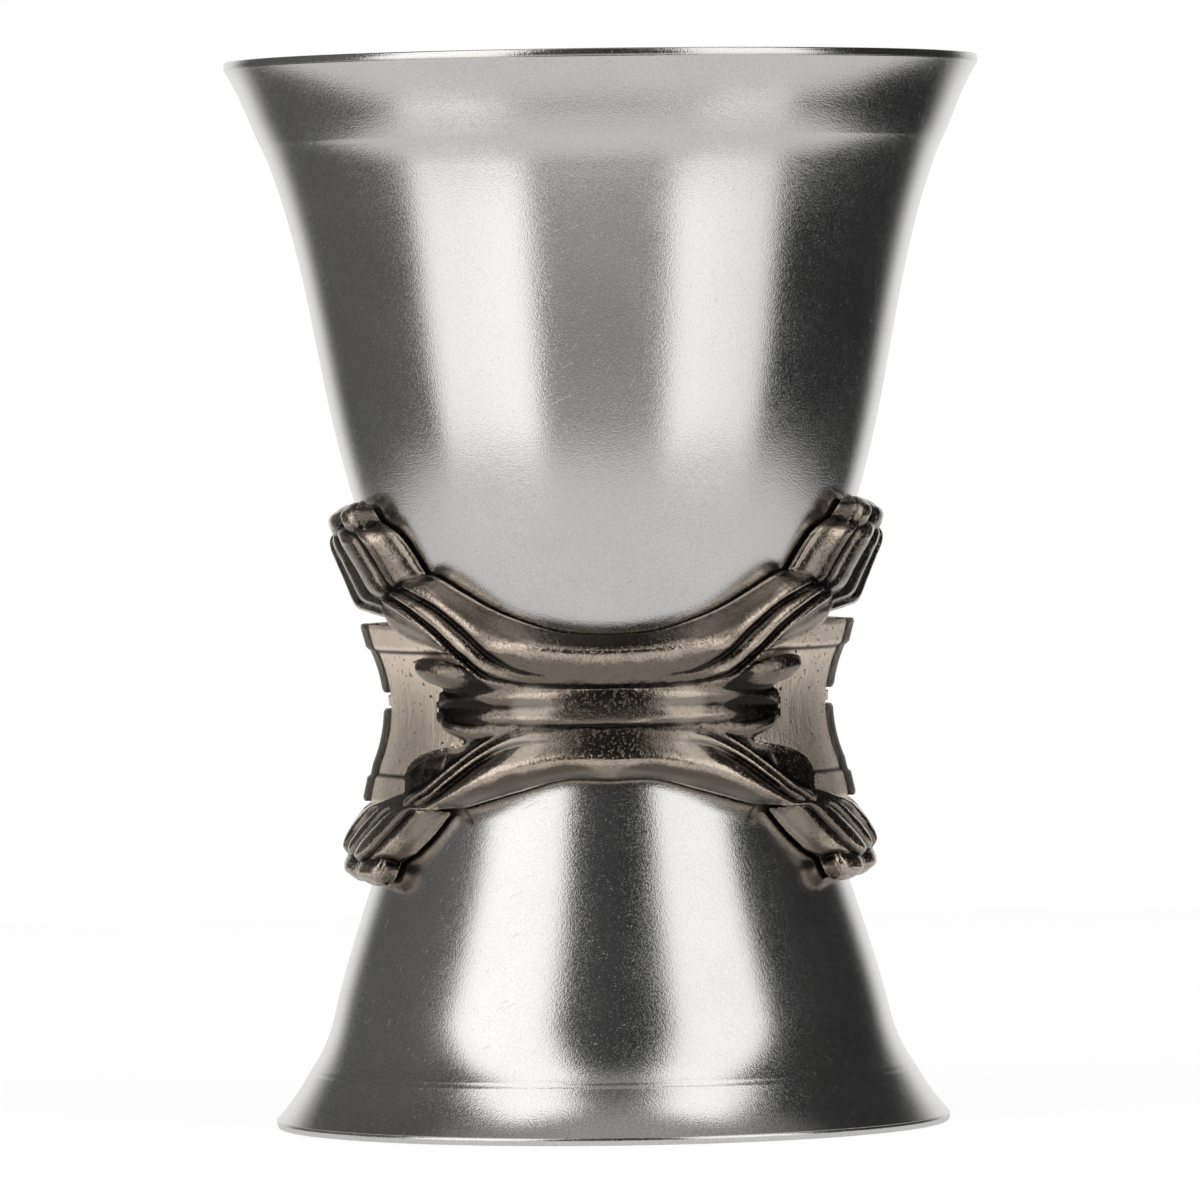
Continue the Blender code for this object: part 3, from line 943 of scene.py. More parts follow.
@dataclass(frozen=True)
class Flute:
    """A flute across a leaf: its height as a share of the leaf's relief, and how full it is."""

    height: float = 1.0
    fullness: float = 0.75


@dataclass(frozen=True)
class Leaf:
    """A leaf or strap of the mount.

    Each section holds the outer edge's angle and rise, the inner edge's angle and rise, the relief, the share
    of fluting, and the shares across at which creases run, in degrees and millimetres. Roll, smooth roll and
    end roll are the shares of the width, where it is fluted and where it is smooth, and of the length, over
    which the outer edge and the end come down to the cup. Roll power is how steeply the outer edge does so.
    """

    sections: tuple[tuple[float, ...], ...]
    flutes: tuple[Flute, ...]
    outer_lip: float
    inner_lip: float
    valley: float = 0.3
    scallop: float = 0.0
    across_centre: bool = False
    smooth_fullness: float = 0.6
    roll: float = 0.0
    smooth_roll: float = 0.36
    roll_power: float = 1.3
    end_roll: float = 0.0

    def rows(self) -> np.ndarray:
        """Drawn sections as rows in radians and metres, both sides of the centre line for a strap."""
        rows = np.array(self.sections)
        rows[:, ANGLES] = np.radians(rows[:, ANGLES])
        rows[:, LENGTHS] *= MM
        if self.across_centre:
            other = rows[:0:-1].copy()
            other[:, ANGLES] *= -1.0
            rows = np.vstack([other, rows])
        return rows

    def crown(self, across: float, fluting: float, creases: Sequence[float]) -> tuple[float, float]:
        """Shape of the leaf at a place across it.

        Args:
            across: Share of the way from the outer to the inner edge.
            fluting: Share of fluting, from a smooth crown at 0.
            creases: Shares across at which creases run.

        Returns:
            The height as a share of the relief, and how far up its flute the place is.
        """
        bounds = (0.0, *creases, 1.0)
        index = max(0, min(len(self.flutes) - 1, sum(across >= crease for crease in creases)))
        start, end = bounds[index], bounds[index + 1]
        share = min(1.0, max(0.0, (across - start) / max(end - start, 1e-6)))
        low_start = self.outer_lip if index == 0 else self.valley
        low_end = self.inner_lip if index == len(self.flutes) - 1 else self.valley
        low = low_start + (low_end - low_start) * share
        swell = math.sin(math.pi * share) ** self.flutes[index].fullness
        fluted = low + (self.flutes[index].height - low) * swell
        lip = self.outer_lip + (self.inner_lip - self.outer_lip) * across
        smooth = lip + (1.0 - lip) * math.sin(math.pi * across) ** self.smooth_fullness
        return (1.0 - fluting) * smooth + fluting * fluted, swell


def strap_leaves() -> tuple[Leaf, ...]:
    """The three straps across the front seam, each drawn from the centre line outwards."""
    upper = Leaf(
        (
            (0.0, 5.6, 0.0, 1.65, 0.8, 0.0, 0.045, 0.74, 0.92),
            (11.0, 5.85, 10.0, 1.65, 0.85, 0.05, 0.045, 0.76, 0.92),
            (20.0, 6.65, 21.0, 1.65, 1.0, 0.3, 0.045, 0.74, 0.92),
            (27.5, 7.6, 30.5, 2.05, 1.2, 0.85, 0.045, 0.62, 0.92),
            (35.0, 8.9, 36.5, 3.35, 1.3, 1.0, 0.045, 0.51, 0.9),
            (39.5, 9.7, 43.5, 5.35, 1.3, 1.0, 0.045, 0.5, 0.87),
            (42.0, 10.05, 52.0, 6.85, 1.25, 1.0, 0.045, 0.52, 0.8),
            (43.5, 10.15, 60.0, 7.95, 1.1, 1.0, 0.045, 0.52, 0.77),
            (43.9, 10.2, 60.8, 8.02, 0.7, 1.0, 0.045, 0.52, 0.77),
        ),
        (Flute(0.4), Flute(1.0, 0.9), Flute(0.95), Flute(0.95)),
        outer_lip=0.22,
        inner_lip=0.62,
        scallop=0.45 * MM,
        across_centre=True,
        smooth_fullness=1.0,
        roll=0.6,
        smooth_roll=0.3,
        roll_power=1.5,
    )
    lower = Leaf(
        (
            (0.0, -5.1, 0.0, -0.9, 0.85, 0.0, 0.045, 0.7, 0.87),
            (11.0, -5.05, 12.0, -0.9, 0.9, 0.05, 0.045, 0.7, 0.87),
            (21.0, -5.85, 24.0, -0.95, 1.05, 0.4, 0.045, 0.7, 0.87),
            (28.0, -6.45, 33.0, -2.3, 1.2, 0.9, 0.045, 0.72, 0.87),
            (35.0, -7.05, 42.0, -4.3, 1.2, 1.0, 0.045, 0.68, 0.84),
            (38.6, -7.25, 48.5, -5.65, 1.15, 1.0, 0.045, 0.62, 0.8),
            (40.5, -7.55, 54.0, -6.3, 1.0, 1.0, 0.045, 0.6, 0.8),
            (41.0, -7.65, 55.0, -6.4, 0.6, 1.0, 0.045, 0.6, 0.8),
        ),
        (Flute(0.4), Flute(1.0, 0.9), Flute(0.9), Flute(0.95)),
        outer_lip=0.22,
        inner_lip=0.6,
        scallop=0.3 * MM,
        across_centre=True,
        roll=0.42,
        smooth_roll=0.42,
        roll_power=1.7,
    )
    middle = Leaf(
        (
            (0.0, 1.8, 0.0, -0.95, 1.0, 0.0, 0.52),
            (10.0, 1.8, 10.0, -0.95, 1.0, 0.0, 0.52),
            (17.0, 1.85, 17.0, -1.0, 1.0, 0.7, 0.52),
            (26.0, 1.95, 26.0, -1.15, 1.0, 1.0, 0.52),
            (36.0, 1.9, 36.0, -1.2, 0.95, 1.0, 0.52),
            (45.4, 1.5, 45.8, -1.0, 0.85, 1.0, 0.52),
            (46.6, 1.4, 47.0, -0.95, 0.5, 1.0, 0.52),
        ),
        (Flute(1.0), Flute(1.0)),
        outer_lip=0.65,
        inner_lip=0.65,
        valley=0.8,
        scallop=0.4 * MM,
        across_centre=True,
        smooth_fullness=0.3,
    )
    return upper, lower, middle


def branch_leaves() -> tuple[Leaf, ...]:
    """The leaves that stand on both sides of the centre line: tips, caps, bracts, curls and facets."""
    tip = partial(Leaf, outer_lip=0.15, inner_lip=0.8, valley=0.42, scallop=0.3 * MM, roll=0.42)
    cap = partial(
        Leaf,
        flutes=(Flute(0.8, 0.55), Flute(1.0, 0.55), Flute(1.0, 0.55)),
        outer_lip=0.15,
        inner_lip=0.55,
        valley=0.15,
        scallop=0.4 * MM,
        roll=0.2,
        end_roll=0.4,
    )
    upper_tip = tip(
        (
            (41.5, 8.9, 62.0, 6.95, 0.6, 1.0, 0.05, 0.36, 0.62, 0.84),
            (43.4, 9.7, 71.0, 7.3, 0.75, 1.0, 0.05, 0.36, 0.62, 0.84),
            (45.0, 10.4, 81.0, 7.7, 0.85, 1.0, 0.05, 0.36, 0.62, 0.84),
            (47.0, 11.5, 84.5, 9.2, 0.95, 1.0, 0.05, 0.36, 0.63, 0.85),
            (49.2, 12.5, 86.5, 10.6, 1.1, 1.0, 0.05, 0.36, 0.65, 0.86),
            (52.0, 13.4, 87.0, 11.9, 1.3, 1.0, 0.05, 0.37, 0.67, 0.88),
            (56.6, 14.05, 86.0, 12.7, 1.15, 1.0, 0.05, 0.37, 0.69, 0.91),
            (57.6, 14.2, 85.5, 12.95, 0.6, 1.0, 0.05, 0.37, 0.69, 0.91),
        ),
        (Flute(0.4), Flute(1.0, 0.8), Flute(1.0, 0.6), Flute(0.9, 0.6), Flute(1.0)),
    )
    upper_cap = cap(
        (
            (57.0, 13.3, 84.0, 12.1, 0.5, 1.0, 0.22, 0.5),
            (57.4, 14.1, 85.5, 13.0, 1.05, 1.0, 0.22, 0.5),
            (58.8, 14.85, 85.5, 13.9, 1.15, 1.0, 0.22, 0.5),
            (60.6, 15.3, 84.0, 14.5, 0.8, 1.0, 0.22, 0.5),
            (61.6, 15.45, 83.4, 14.7, 0.35, 1.0, 0.22, 0.5),
        ),
    )
    lower_tip = tip(
        (
            (38.0, -6.6, 56.0, -6.0, 0.55, 1.0, 0.045, 0.36, 0.62, 0.82),
            (39.4, -7.2, 66.0, -6.7, 0.75, 1.0, 0.045, 0.36, 0.62, 0.82),
            (40.8, -7.75, 76.0, -7.3, 0.85, 1.0, 0.045, 0.36, 0.62, 0.82),
            (44.0, -8.95, 82.0, -8.0, 1.0, 1.0, 0.045, 0.36, 0.62, 0.8),
            (47.0, -9.85, 85.5, -8.8, 1.25, 1.0, 0.045, 0.36, 0.62, 0.81),
            (50.8, -10.75, 87.0, -9.8, 1.45, 1.0, 0.045, 0.36, 0.64, 0.83),
            (56.0, -11.4, 86.0, -10.4, 1.3, 1.0, 0.045, 0.36, 0.65, 0.86),
            (56.8, -11.55, 85.6, -10.6, 0.7, 1.0, 0.045, 0.36, 0.65, 0.86),
        ),
        (Flute(0.4), Flute(1.0, 0.8), Flute(0.95, 0.6), Flute(0.9, 0.6), Flute(1.0)),
    )
    lower_cap = cap(
        (
            (56.0, -11.0, 84.0, -10.0, 0.5, 1.0, 0.17, 0.57),
            (55.2, -11.7, 86.0, -11.0, 1.1, 1.0, 0.17, 0.57),
            (55.8, -12.3, 86.5, -11.7, 1.1, 1.0, 0.17, 0.57),
            (57.0, -12.7, 86.0, -12.2, 0.75, 1.0, 0.17, 0.57),
            (58.0, -12.85, 85.0, -12.4, 0.35, 1.0, 0.17, 0.57),
        ),
    )
    upper_bract = Leaf(
        (
            (25.0, 2.3, 25.0, 1.1, 0.9, 0.0),
            (32.0, 3.1, 32.0, 1.1, 1.0, 0.0),
            (39.0, 3.6, 41.0, 1.2, 1.35, 0.0),
            (46.5, 4.0, 46.0, 1.8, 1.5, 0.0),
            (52.0, 3.9, 51.0, 2.2, 1.3, 0.0),
            (54.0, 3.6, 53.4, 2.7, 0.6, 0.0),
        ),
        (Flute(),),
        outer_lip=0.25,
        inner_lip=0.25,
    )
    lower_bract = Leaf(
        (
            (23.0, -0.6, 23.0, -1.9, 0.9, 0.0),
            (29.0, -0.6, 29.0, -2.1, 1.0, 0.0),
            (36.0, -0.5, 36.0, -2.3, 1.2, 0.0),
            (42.0, -0.45, 42.0, -1.8, 1.3, 0.0),
            (45.3, -0.45, 45.0, -1.4, 1.0, 0.0),
            (46.2, -0.55, 45.8, -1.15, 0.55, 0.0),
        ),
        (Flute(),),
        outer_lip=0.3,
        inner_lip=0.25,
    )
    lower_curl = Leaf(
        (
            (32.0, -2.6, 31.0, -1.8, 0.75, 1.0),
            (42.0, -4.8, 40.0, -2.45, 0.9, 1.0),
            (48.5, -6.1, 48.0, -2.9, 0.95, 1.0),
            (53.0, -6.7, 54.0, -3.6, 0.95, 1.0),
            (55.0, -6.9, 57.0, -4.9, 0.85, 1.0),
        ),
        (Flute(0.62, 1.0),),
        outer_lip=1.0,
        inner_lip=0.95,
    )
    upper_facet = Leaf(
        (
            (40.0, 4.9, 41.0, 4.4, 0.75, 0.0),
            (46.0, 6.1, 46.5, 4.8, 0.75, 0.0),
            (52.0, 7.0, 53.0, 5.3, 0.75, 0.0),
            (58.0, 7.8, 59.5, 6.2, 0.75, 0.0),
            (62.0, 8.2, 63.0, 7.3, 0.6, 0.0),
        ),
        (Flute(),),
        outer_lip=0.9,
        inner_lip=0.85,
    )
    return upper_tip, upper_cap, lower_tip, lower_cap, upper_bract, lower_bract, lower_curl, upper_facet


PATCH_REACH = 1.3
PATCH_FADE = 0.6


@dataclass(frozen=True)
class Patch:
    """An oval place on the mount, on both sides of its centre line.

    It holds the centre's angle and rise and the half sizes, in degrees and millimetres, the rise per degree
    along it, and its strength.
    """

    angle: float
    rise: float
    half_angle: float
    half_rise: float
    slope: float = 0.0
    strength: float = 1.0

    def share(self, angles: np.ndarray, rises: np.ndarray) -> np.ndarray:
        """How far points lie within the patch.

        Args:
            angles: Angles of the points from the front, in degrees, on either side.
            rises: Rises of the points, in millimetres.

        Returns:
            The patch's strength in its middle, 0 outside it.
        """
        along = (np.abs(angles) - self.angle) / self.half_angle
        level = self.rise + self.slope * (np.abs(angles) - self.angle)
        away = np.hypot(along, (rises - level) / self.half_rise)
        held = np.clip((PATCH_REACH - away) / PATCH_FADE, 0.0, 1.0)
        return self.strength * held * held * (3.0 - 2.0 * held)


# Painted shade in the hollows between the leaves and round their feet, and a painted dark reflection along
# the middle strap.
PAINTED_SHADE_PATCHES = (
    Patch(49.0, -4.3, 8.0, 0.75, -0.14, 0.35),
    Patch(46.0, 3.0, 9.0, 1.1, 0.05, 0.3),
    Patch(52.5, 9.15, 9.0, 0.5, -0.12),
    Patch(38.5, 0.25, 7.5, 1.6),
    Patch(37.0, 2.1, 7.0, 0.7, 0.05),
    Patch(39.0, 1.5, 7.0, 0.4),
    Patch(38.5, -1.4, 6.0, 0.5),
    Patch(0.0, 0.42, 11.0, 1.1, 0.0, 0.75),
)
# Where the casting is rubbed bright by handling, lightened further by painted highlights.
RUBBED_HIGHLIGHT_PATCHES = (
    Patch(19.0, 0.45, 5.0, 1.4, 0.0, 0.8),
    Patch(23.0, -2.9, 7.0, 1.3, -0.1, 0.8),
    Patch(0.0, -4.6, 22.0, 0.5, -0.03, 0.8),
    Patch(0.0, 5.2, 18.0, 0.5, 0.03, 0.8),
    Patch(52.0, 11.2, 4.5, 2.0, 0.5, 0.6),
    Patch(50.0, -9.0, 5.0, 1.6, -0.3, 0.7),
    Patch(53.0, 6.4, 8.0, 0.6, 0.12),
    Patch(79.0, 10.6, 3.0, 2.4, 0.3),
    Patch(77.0, -9.3, 3.0, 1.6, -0.25),
    Patch(67.0, 9.0, 9.0, 2.6, 0.15, 0.55),
    Patch(66.0, -8.2, 9.0, 2.2, -0.12, 0.45),
)


@dataclass
class LeafMount:
    """The cast mount over a seam of the shells: straps that part into fluted leaves with lobed caps."""

    waist: Waist
    span_steps: int = 10
    flute_steps: int = 12
    bed_steps: int = 14
    skin_voxel: float = 0.11 * MM
    skin_softness: float = 0.5
    skin_smoothing: int = 2
    face_limit: int = 170000
    cast_depth: float = 0.014 * MM
    cast_grain: float = 0.55 * MM
    cast_fade: float = 0.8
    cast_fineness: float = 2.0
    cast_octaves: int = 3
    web: float = 0.2 * MM
    side_limit: float = 0.995
    edge_facing: float = 0.15
    edge_turn: float = 0.3
    edge_blend: float = 0.5 * MM
    edge_from: float = 18.0
    edge_fade: float = 14.0

    def face(
        self, leaf: Leaf, row: np.ndarray, across: float, angle: float, rise: float, settled: float = 1.0
    ) -> tuple[float, float]:
        """A place on a leaf's face. A rolled edge goes back to the cup behind its outline in the front view.

        Args:
            leaf: The leaf.
            row: Its section here.
            across: Share of the way from the outer to the inner edge.
            angle: Angle round the collar before the edge is rolled.
            rise: Rise from the waist.
            settled: Share of the way from the cup to the seat on which the section lies.

        Returns:
            The angle and the radius, at least one web over the bed.
        """
        waist = self.waist
        height, _ = leaf.crown(across, row[FLUTING], list(row[CREASES]))
        low, seat = waist.cup_radius(rise) + waist.gap, waist.seat(rise)
        relief = row[RELIEF] * height
        rolled = 1.0
        if leaf.roll:
            ramp = leaf.smooth_roll + (leaf.roll - leaf.smooth_roll) * row[FLUTING]
            rolled -= max(0.0, 1.0 - across / ramp) ** leaf.roll_power
        radius = low + (seat - low) * rolled + relief
        sideways = math.sin(angle) * (seat + relief) / radius
        if abs(sideways) < self.side_limit:
            angle = math.asin(sideways)
        radius -= (1.0 - settled) * (seat - low) * rolled
        return angle, max(waist.bed(angle, rise) + self.web, radius)

    def ring(self, leaf: Leaf, row: np.ndarray, reach: np.ndarray, settled: float) -> Ring:
        """One closed section of a leaf.

        Args:
            leaf: The leaf.
            row: Its section here.
            reach: How far its flutes run on past the section, as an angle and a rise at full swell.
            settled: Share of the way from the cup to the seat on which the section lies.

        Returns:
            The points over the crown, and back along the bed.
        """
        outer, inner, creases = row[OUTER], row[INNER], list(row[CREASES])
        bounds = [0.0, *creases, 1.0]
        shares = [0.0]
        for start, end in zip(bounds, bounds[1:]):
            shares += spaced(start, end, self.flute_steps)[1:]
        ring = []
        for across in shares:
            _, swell = leaf.crown(across, row[FLUTING], creases)
            angle, rise = outer + (inner - outer) * across + reach * swell
            angle, radius = self.face(leaf, row, across, angle, rise, settled)
            ring.append(self.waist.place(angle, radius, rise))
        for across in spaced(1.0, 0.0, self.bed_steps):
            angle, rise = outer + (inner - outer) * across
            angle, _ = self.face(leaf, row, across, angle, rise)
            ring.append(self.waist.place(angle, self.waist.bed(angle, rise), rise))
        return ring

    def rings(self, leaf: Leaf, rows: np.ndarray) -> list[Ring]:
        """All sections of a leaf, with its flutes run out to a scalloped end.

        Args:
            leaf: The leaf.
            rows: Its drawn sections.

        Returns:
            The rings of its loft.
        """
        smooth = smooth_rows(rows, self.span_steps)
        last = len(smooth) - 1
        ends = [(last, last - self.span_steps)]
        if leaf.across_centre:
            ends.append((0, self.span_steps))
        rings = []
        for index, row in enumerate(smooth):
            run = np.zeros(2)
            for end, inward in ends:
                near, far = smooth[end], smooth[inward]
                heading = (near[OUTER] + near[INNER] - far[OUTER] - far[INNER]) / 2
                length = math.hypot(heading[0] * self.waist.seat(near[1]), heading[1])
                share = 1.0 - min(1.0, abs(end - index) / self.span_steps)
                run += heading / length * leaf.scallop * smooth_step(share)
            left = (last - index) / last
            settled = math.sqrt(1.0 - (1.0 - left / leaf.end_roll) ** 2) if left < leaf.end_roll else 1.0
            rings.append(self.ring(leaf, row, run, settled))
        return rings

    def blank(self) -> bpy.types.Object:
        """All leaves of the front mount in one mesh, still passing through each other."""
        builder = bmesh.new()
        for strap in strap_leaves():
            loft(builder, self.rings(strap, strap.rows()))
        for leaf in branch_leaves():
            rows = leaf.rows()
            other = rows.copy()
            other[:, ANGLES] *= -1.0
            loft(builder, self.rings(leaf, rows))
            loft(builder, self.rings(leaf, other))
        return add_object("mount_blank", close_mesh(builder, "mount_blank"))

    def cast(self) -> bpy.types.Mesh:
        """One skin over all the leaves, softened as a casting is."""
        blank = self.blank()
        skin = blank.modifiers.new("one_casting", "REMESH")
        skin.mode = "VOXEL"
        skin.voxel_size = self.skin_voxel
        soft = blank.modifiers.new("soft_edges", "SMOOTH")
        soft.factor = self.skin_softness
        soft.iterations = self.skin_smoothing
        mesh = carried_out(blank)
        faces = sum(len(polygon.vertices) - 2 for polygon in mesh.polygons)
        if faces > self.face_limit:
            dense = add_object("mount_dense", mesh)
            thin = dense.modifiers.new("fewer_faces", "DECIMATE")
            thin.ratio = self.face_limit / faces
            mesh = carried_out(dense)
        return mesh

    def mark_finish(self, mesh: bpy.types.Mesh) -> None:
        """Store each point's painted shade, rubbed highlight, and share of an edge that faces away from the
        waist.

        Args:
            mesh: The mesh to mark, which gets the attributes painted_shade, rubbed_highlight and edge.
        """
        across, depth, height = vertex_vectors(mesh, "co").T
        angles = np.degrees(np.arctan2(across, -depth))
        levels = height - self.waist.level
        outward = vertex_vectors(mesh, "normal")[:, 2] * np.sign(levels)
        beyond = np.clip((np.abs(levels) - self.waist.shell_drop) / self.edge_blend, 0.0, 1.0)
        beyond *= np.clip((np.abs(angles) - self.edge_from) / self.edge_fade, 0.0, 1.0)
        edges = np.clip((outward - self.edge_facing) / self.edge_turn, 0.0, 1.0) * beyond
        painted_shades = [patch.share(angles, levels / MM) for patch in PAINTED_SHADE_PATCHES]
        rubbed_highlight = [patch.share(angles, levels / MM) for patch in RUBBED_HIGHLIGHT_PATCHES]
        for name, shares in (("painted_shade", painted_shades), ("rubbed_highlight", rubbed_highlight), ("edge", [edges])):
            mark(mesh, name, np.max(shares, axis=0).astype(np.float32))

    def roughen(self, mesh: bpy.types.Mesh) -> None:
        """Give the skin the uneven face of a sand casting."""
        frequency = 1.0 / self.cast_grain
        normals = [vertex.normal.copy() for vertex in mesh.vertices]
        for vertex, normal in zip(mesh.vertices, normals):
            place = vertex.co * frequency
            depth = noise.fractal(place, self.cast_fade, self.cast_fineness, self.cast_octaves)
            vertex.co += normal * (depth * self.cast_depth)
        mesh.update()

    def build(self, material: bpy.types.Material) -> list[bpy.types.Object]:
        """Make both mounts.

        Args:
            material: Their finish.

        Returns:
            The front and the back mount.
        """
        mesh = self.cast()
        mark_recesses(mesh)
        self.mark_finish(mesh)
        self.roughen(mesh)
        return both_castings(("front_leaf_mount_skin", "back_leaf_mount_skin"), mesh, (material, material))


def mark_recesses(mesh: bpy.types.Mesh, passes: int = 60, depth: float = 0.12 * MM) -> None:
    """Store how far each point lies below its surroundings, as an attribute named recess.

    Args:
        mesh: The mesh to mark.
        passes: Number of smoothing passes that give the surroundings.
        depth: Depth below the surroundings that counts as 1.
    """
    count = len(mesh.vertices)
    places, normals = vertex_vectors(mesh, "co"), vertex_vectors(mesh, "normal")
    pairs = np.empty(len(mesh.edges) * 2, dtype=np.int64)
    mesh.edges.foreach_get("vertices", pairs)
    first, second = pairs.reshape(-1, 2).T
    links = np.bincount(first, minlength=count) + np.bincount(second, minlength=count)
    links = np.maximum(links, 1)

    def averaged(values: np.ndarray) -> np.ndarray:
        """Each column of values, averaged over a point's neighbours."""
        sums = [
            np.bincount(first, values[second, axis], count) + np.bincount(second, values[first, axis], count)
            for axis in range(values.shape[1])
        ]
        return np.stack(sums, axis=1) / links[:, None]

    soft = places.copy()
    for _ in range(passes):
        soft = 0.5 * soft + 0.5 * averaged(soft)
    below = ((soft - places) * normals).sum(axis=1) / depth
    mark(mesh, "recess", np.clip(0.5 + 0.5 * below, 0.0, 1.0).astype(np.float32))


class ShaderSketch(NodeSketch):
    """A material's node tree round one Principled shader, with patterns on Object coordinates."""

    noise_roughness = 0.6
    scratch_edge = 0.05

    def __init__(self, name: str) -> None:
        """Make the material.

        Args:
            name: Name of the material.
        """
        self.material = bpy.data.materials.new(name)
        self.material.use_nodes = True
        super().__init__(self.material.node_tree)
        self.shader = self.tree.nodes["Principled BSDF"]
        self.coordinates = self.add("ShaderNodeTexCoord").outputs["Object"]

    def mapped(self, scale: Point, turn: Point = (0.0, 0.0, 0.0)) -> bpy.types.NodeSocket:
        """Object coordinates, turned and stretched.

        Args:
            scale: Repeats per millimetre on each axis.
            turn: Turn about each axis, in radians.

        Returns:
            The coordinates.
        """
        turned = self.add("ShaderNodeMapping", {"Vector": self.coordinates, "Rotation": turn})
        per_metre = tuple(axis / MM for axis in scale)
        return self.add("ShaderNodeMapping", {"Vector": turned.outputs[0], "Scale": per_metre}).outputs[0]

    def noise(
        self, scale: Point | float, detail: float, turn: Point = (0.0, 0.0, 0.0)
    ) -> bpy.types.NodeSocket:
        """Noise on Object coordinates.

        Args:
            scale: Repeats per millimetre, on each axis or on all.
            detail: Octaves.
            turn: Turn of the pattern about each axis.

        Returns:
            The noise, about 0.5.
        """
        each = (scale, scale, scale) if isinstance(scale, float) else scale
        inputs = {
            "Vector": self.mapped(each, turn),
            "Scale": 1.0,
            "Detail": detail,
            "Roughness": self.noise_roughness,
        }
        return self.add("ShaderNodeTexNoise", inputs).outputs["Fac"]

    def ranged(
        self, value: Any, start: float, end: float, low: float = 0.0, high: float = 1.0
    ) -> bpy.types.NodeSocket:
        """A value moved softly from one range to another, and held there.

        Args:
            value: The value's socket.
            start: Value that gives low.
            end: Value that gives high.
            low: Least result.
            high: Greatest result.

        Returns:
            The result's socket.
        """
        inputs = {0: value, 1: start, 2: end, 3: low, 4: high}
        return self.add("ShaderNodeMapRange", inputs, interpolation_type="SMOOTHSTEP").outputs[0]

    def mixed(self, share: Any, first: Any, second: Any) -> bpy.types.NodeSocket:
        """A colour between two.

        Args:
            share: Share of the second colour.
            first: First colour or socket.
            second: Second colour or socket.

        Returns:
            The colour's socket.
        """
        colours = [(*colour, 1.0) if isinstance(colour, tuple) else colour for colour in (first, second)]
        # Inputs 6 and 7 and output 2 are the colour sockets of the node.
        node = self.add("ShaderNodeMix", {0: share, 6: colours[0], 7: colours[1]}, data_type="RGBA")
        return node.outputs[2]

    def scratches(self, turn: Point, spacing: float, length: float, share: float) -> bpy.types.NodeSocket:
        """Sparse straight scratches in one direction.

        Args:
            turn: Direction, as a turn of the pattern about each axis.
            spacing: Width of the pattern's cells across the scratches, in millimetres.
            length: Length of the cells, in millimetres.
            share: Noise value above which a scratch shows.

        Returns:
            1 on a scratch, 0 beside it.
        """
        streaks = self.noise((1.0 / length, 1.0 / spacing, 1.0 / spacing), 0.0, turn)
        return self.ranged(streaks, share, share + self.scratch_edge)

    def bumped(self, height: Any, depth: float) -> bpy.types.NodeSocket:
        """A bumped normal.

        Args:
            height: Height pattern, about 0 to 1.
            depth: Depth of the pattern, in metres.

        Returns:
            The normal's socket.
        """
        inputs = {"Height": height, "Distance": depth, "Strength": 1.0}
        return self.add("ShaderNodeBump", inputs).outputs[0]

    def dress(self, colour: Any, roughness: Any, normal: Any) -> bpy.types.Material:
        """Feed the shader and hand over the material.

        Args:
            colour: Colour socket.
            roughness: Roughness socket.
            normal: Normal socket.

        Returns:
            The material.
        """
        self.shader.inputs["Metallic"].default_value = 1.0
        self.tree.links.new(colour, self.shader.inputs["Base Color"])
        self.tree.links.new(roughness, self.shader.inputs["Roughness"])
        self.tree.links.new(normal, self.shader.inputs["Normal"])
        return self.material


@dataclass(frozen=True)
class SatinSteel:
    """Finish of the cups: satin metal with a fine grain, faint turning lines and stray scratches."""

    name: str = "satin_steel"
    light: Colour = (0.65, 0.64, 0.625)
    dark: Colour = (0.56, 0.552, 0.54)
    polish: float = 0.15
    dull: float = 0.25
    colour_span: Span = (0.3, 0.7)
    roughness_span: Span = (0.35, 0.75)
    cloud_scale: float = 0.12
    cloud_weight: float = 0.5
    grain_scale: float = 8.0
    grain_depth: float = 0.009 * MM
    turning_scale: Point = (0.02, 0.02, 5.0)
    turning_weight: float = 0.15
    scratch_turns: tuple[Point, ...] = ((0.2, 0.4, 0.3), (1.3, 0.2, 1.1), (0.7, 1.2, 2.1))
    scratch_width: float = 0.06
    scratch_length: float = 2.6
    scratch_share: float = 0.83
    scratch_weight: float = -0.6

    def material(self) -> bpy.types.Material:
        """Draw the material."""
        sketch = ShaderSketch(self.name)
        cloud = sketch.noise(self.cloud_scale, detail=4.0)
        grain = sketch.noise(self.grain_scale, detail=1.0)
        lines = sketch.noise(self.turning_scale, detail=2.0)
        uneven = sketch.maths("MULTIPLY_ADD", sketch.maths("SUBTRACT", cloud, 0.5), self.cloud_weight, grain)
        colour = sketch.mixed(sketch.ranged(uneven, *self.colour_span), self.dark, self.light)
        marks = None
        for turn in self.scratch_turns:
            streak = sketch.scratches(turn, self.scratch_width, self.scratch_length, self.scratch_share)
            marks = streak if marks is None else sketch.maths("MAXIMUM", marks, streak)
        roughness = sketch.ranged(uneven, *self.roughness_span, self.polish, self.dull)
        height = sketch.maths("MULTIPLY_ADD", lines, self.turning_weight, grain)
        height = sketch.maths("MULTIPLY_ADD", marks, self.scratch_weight, height)
        return sketch.dress(colour, roughness, sketch.bumped(height, self.grain_depth))


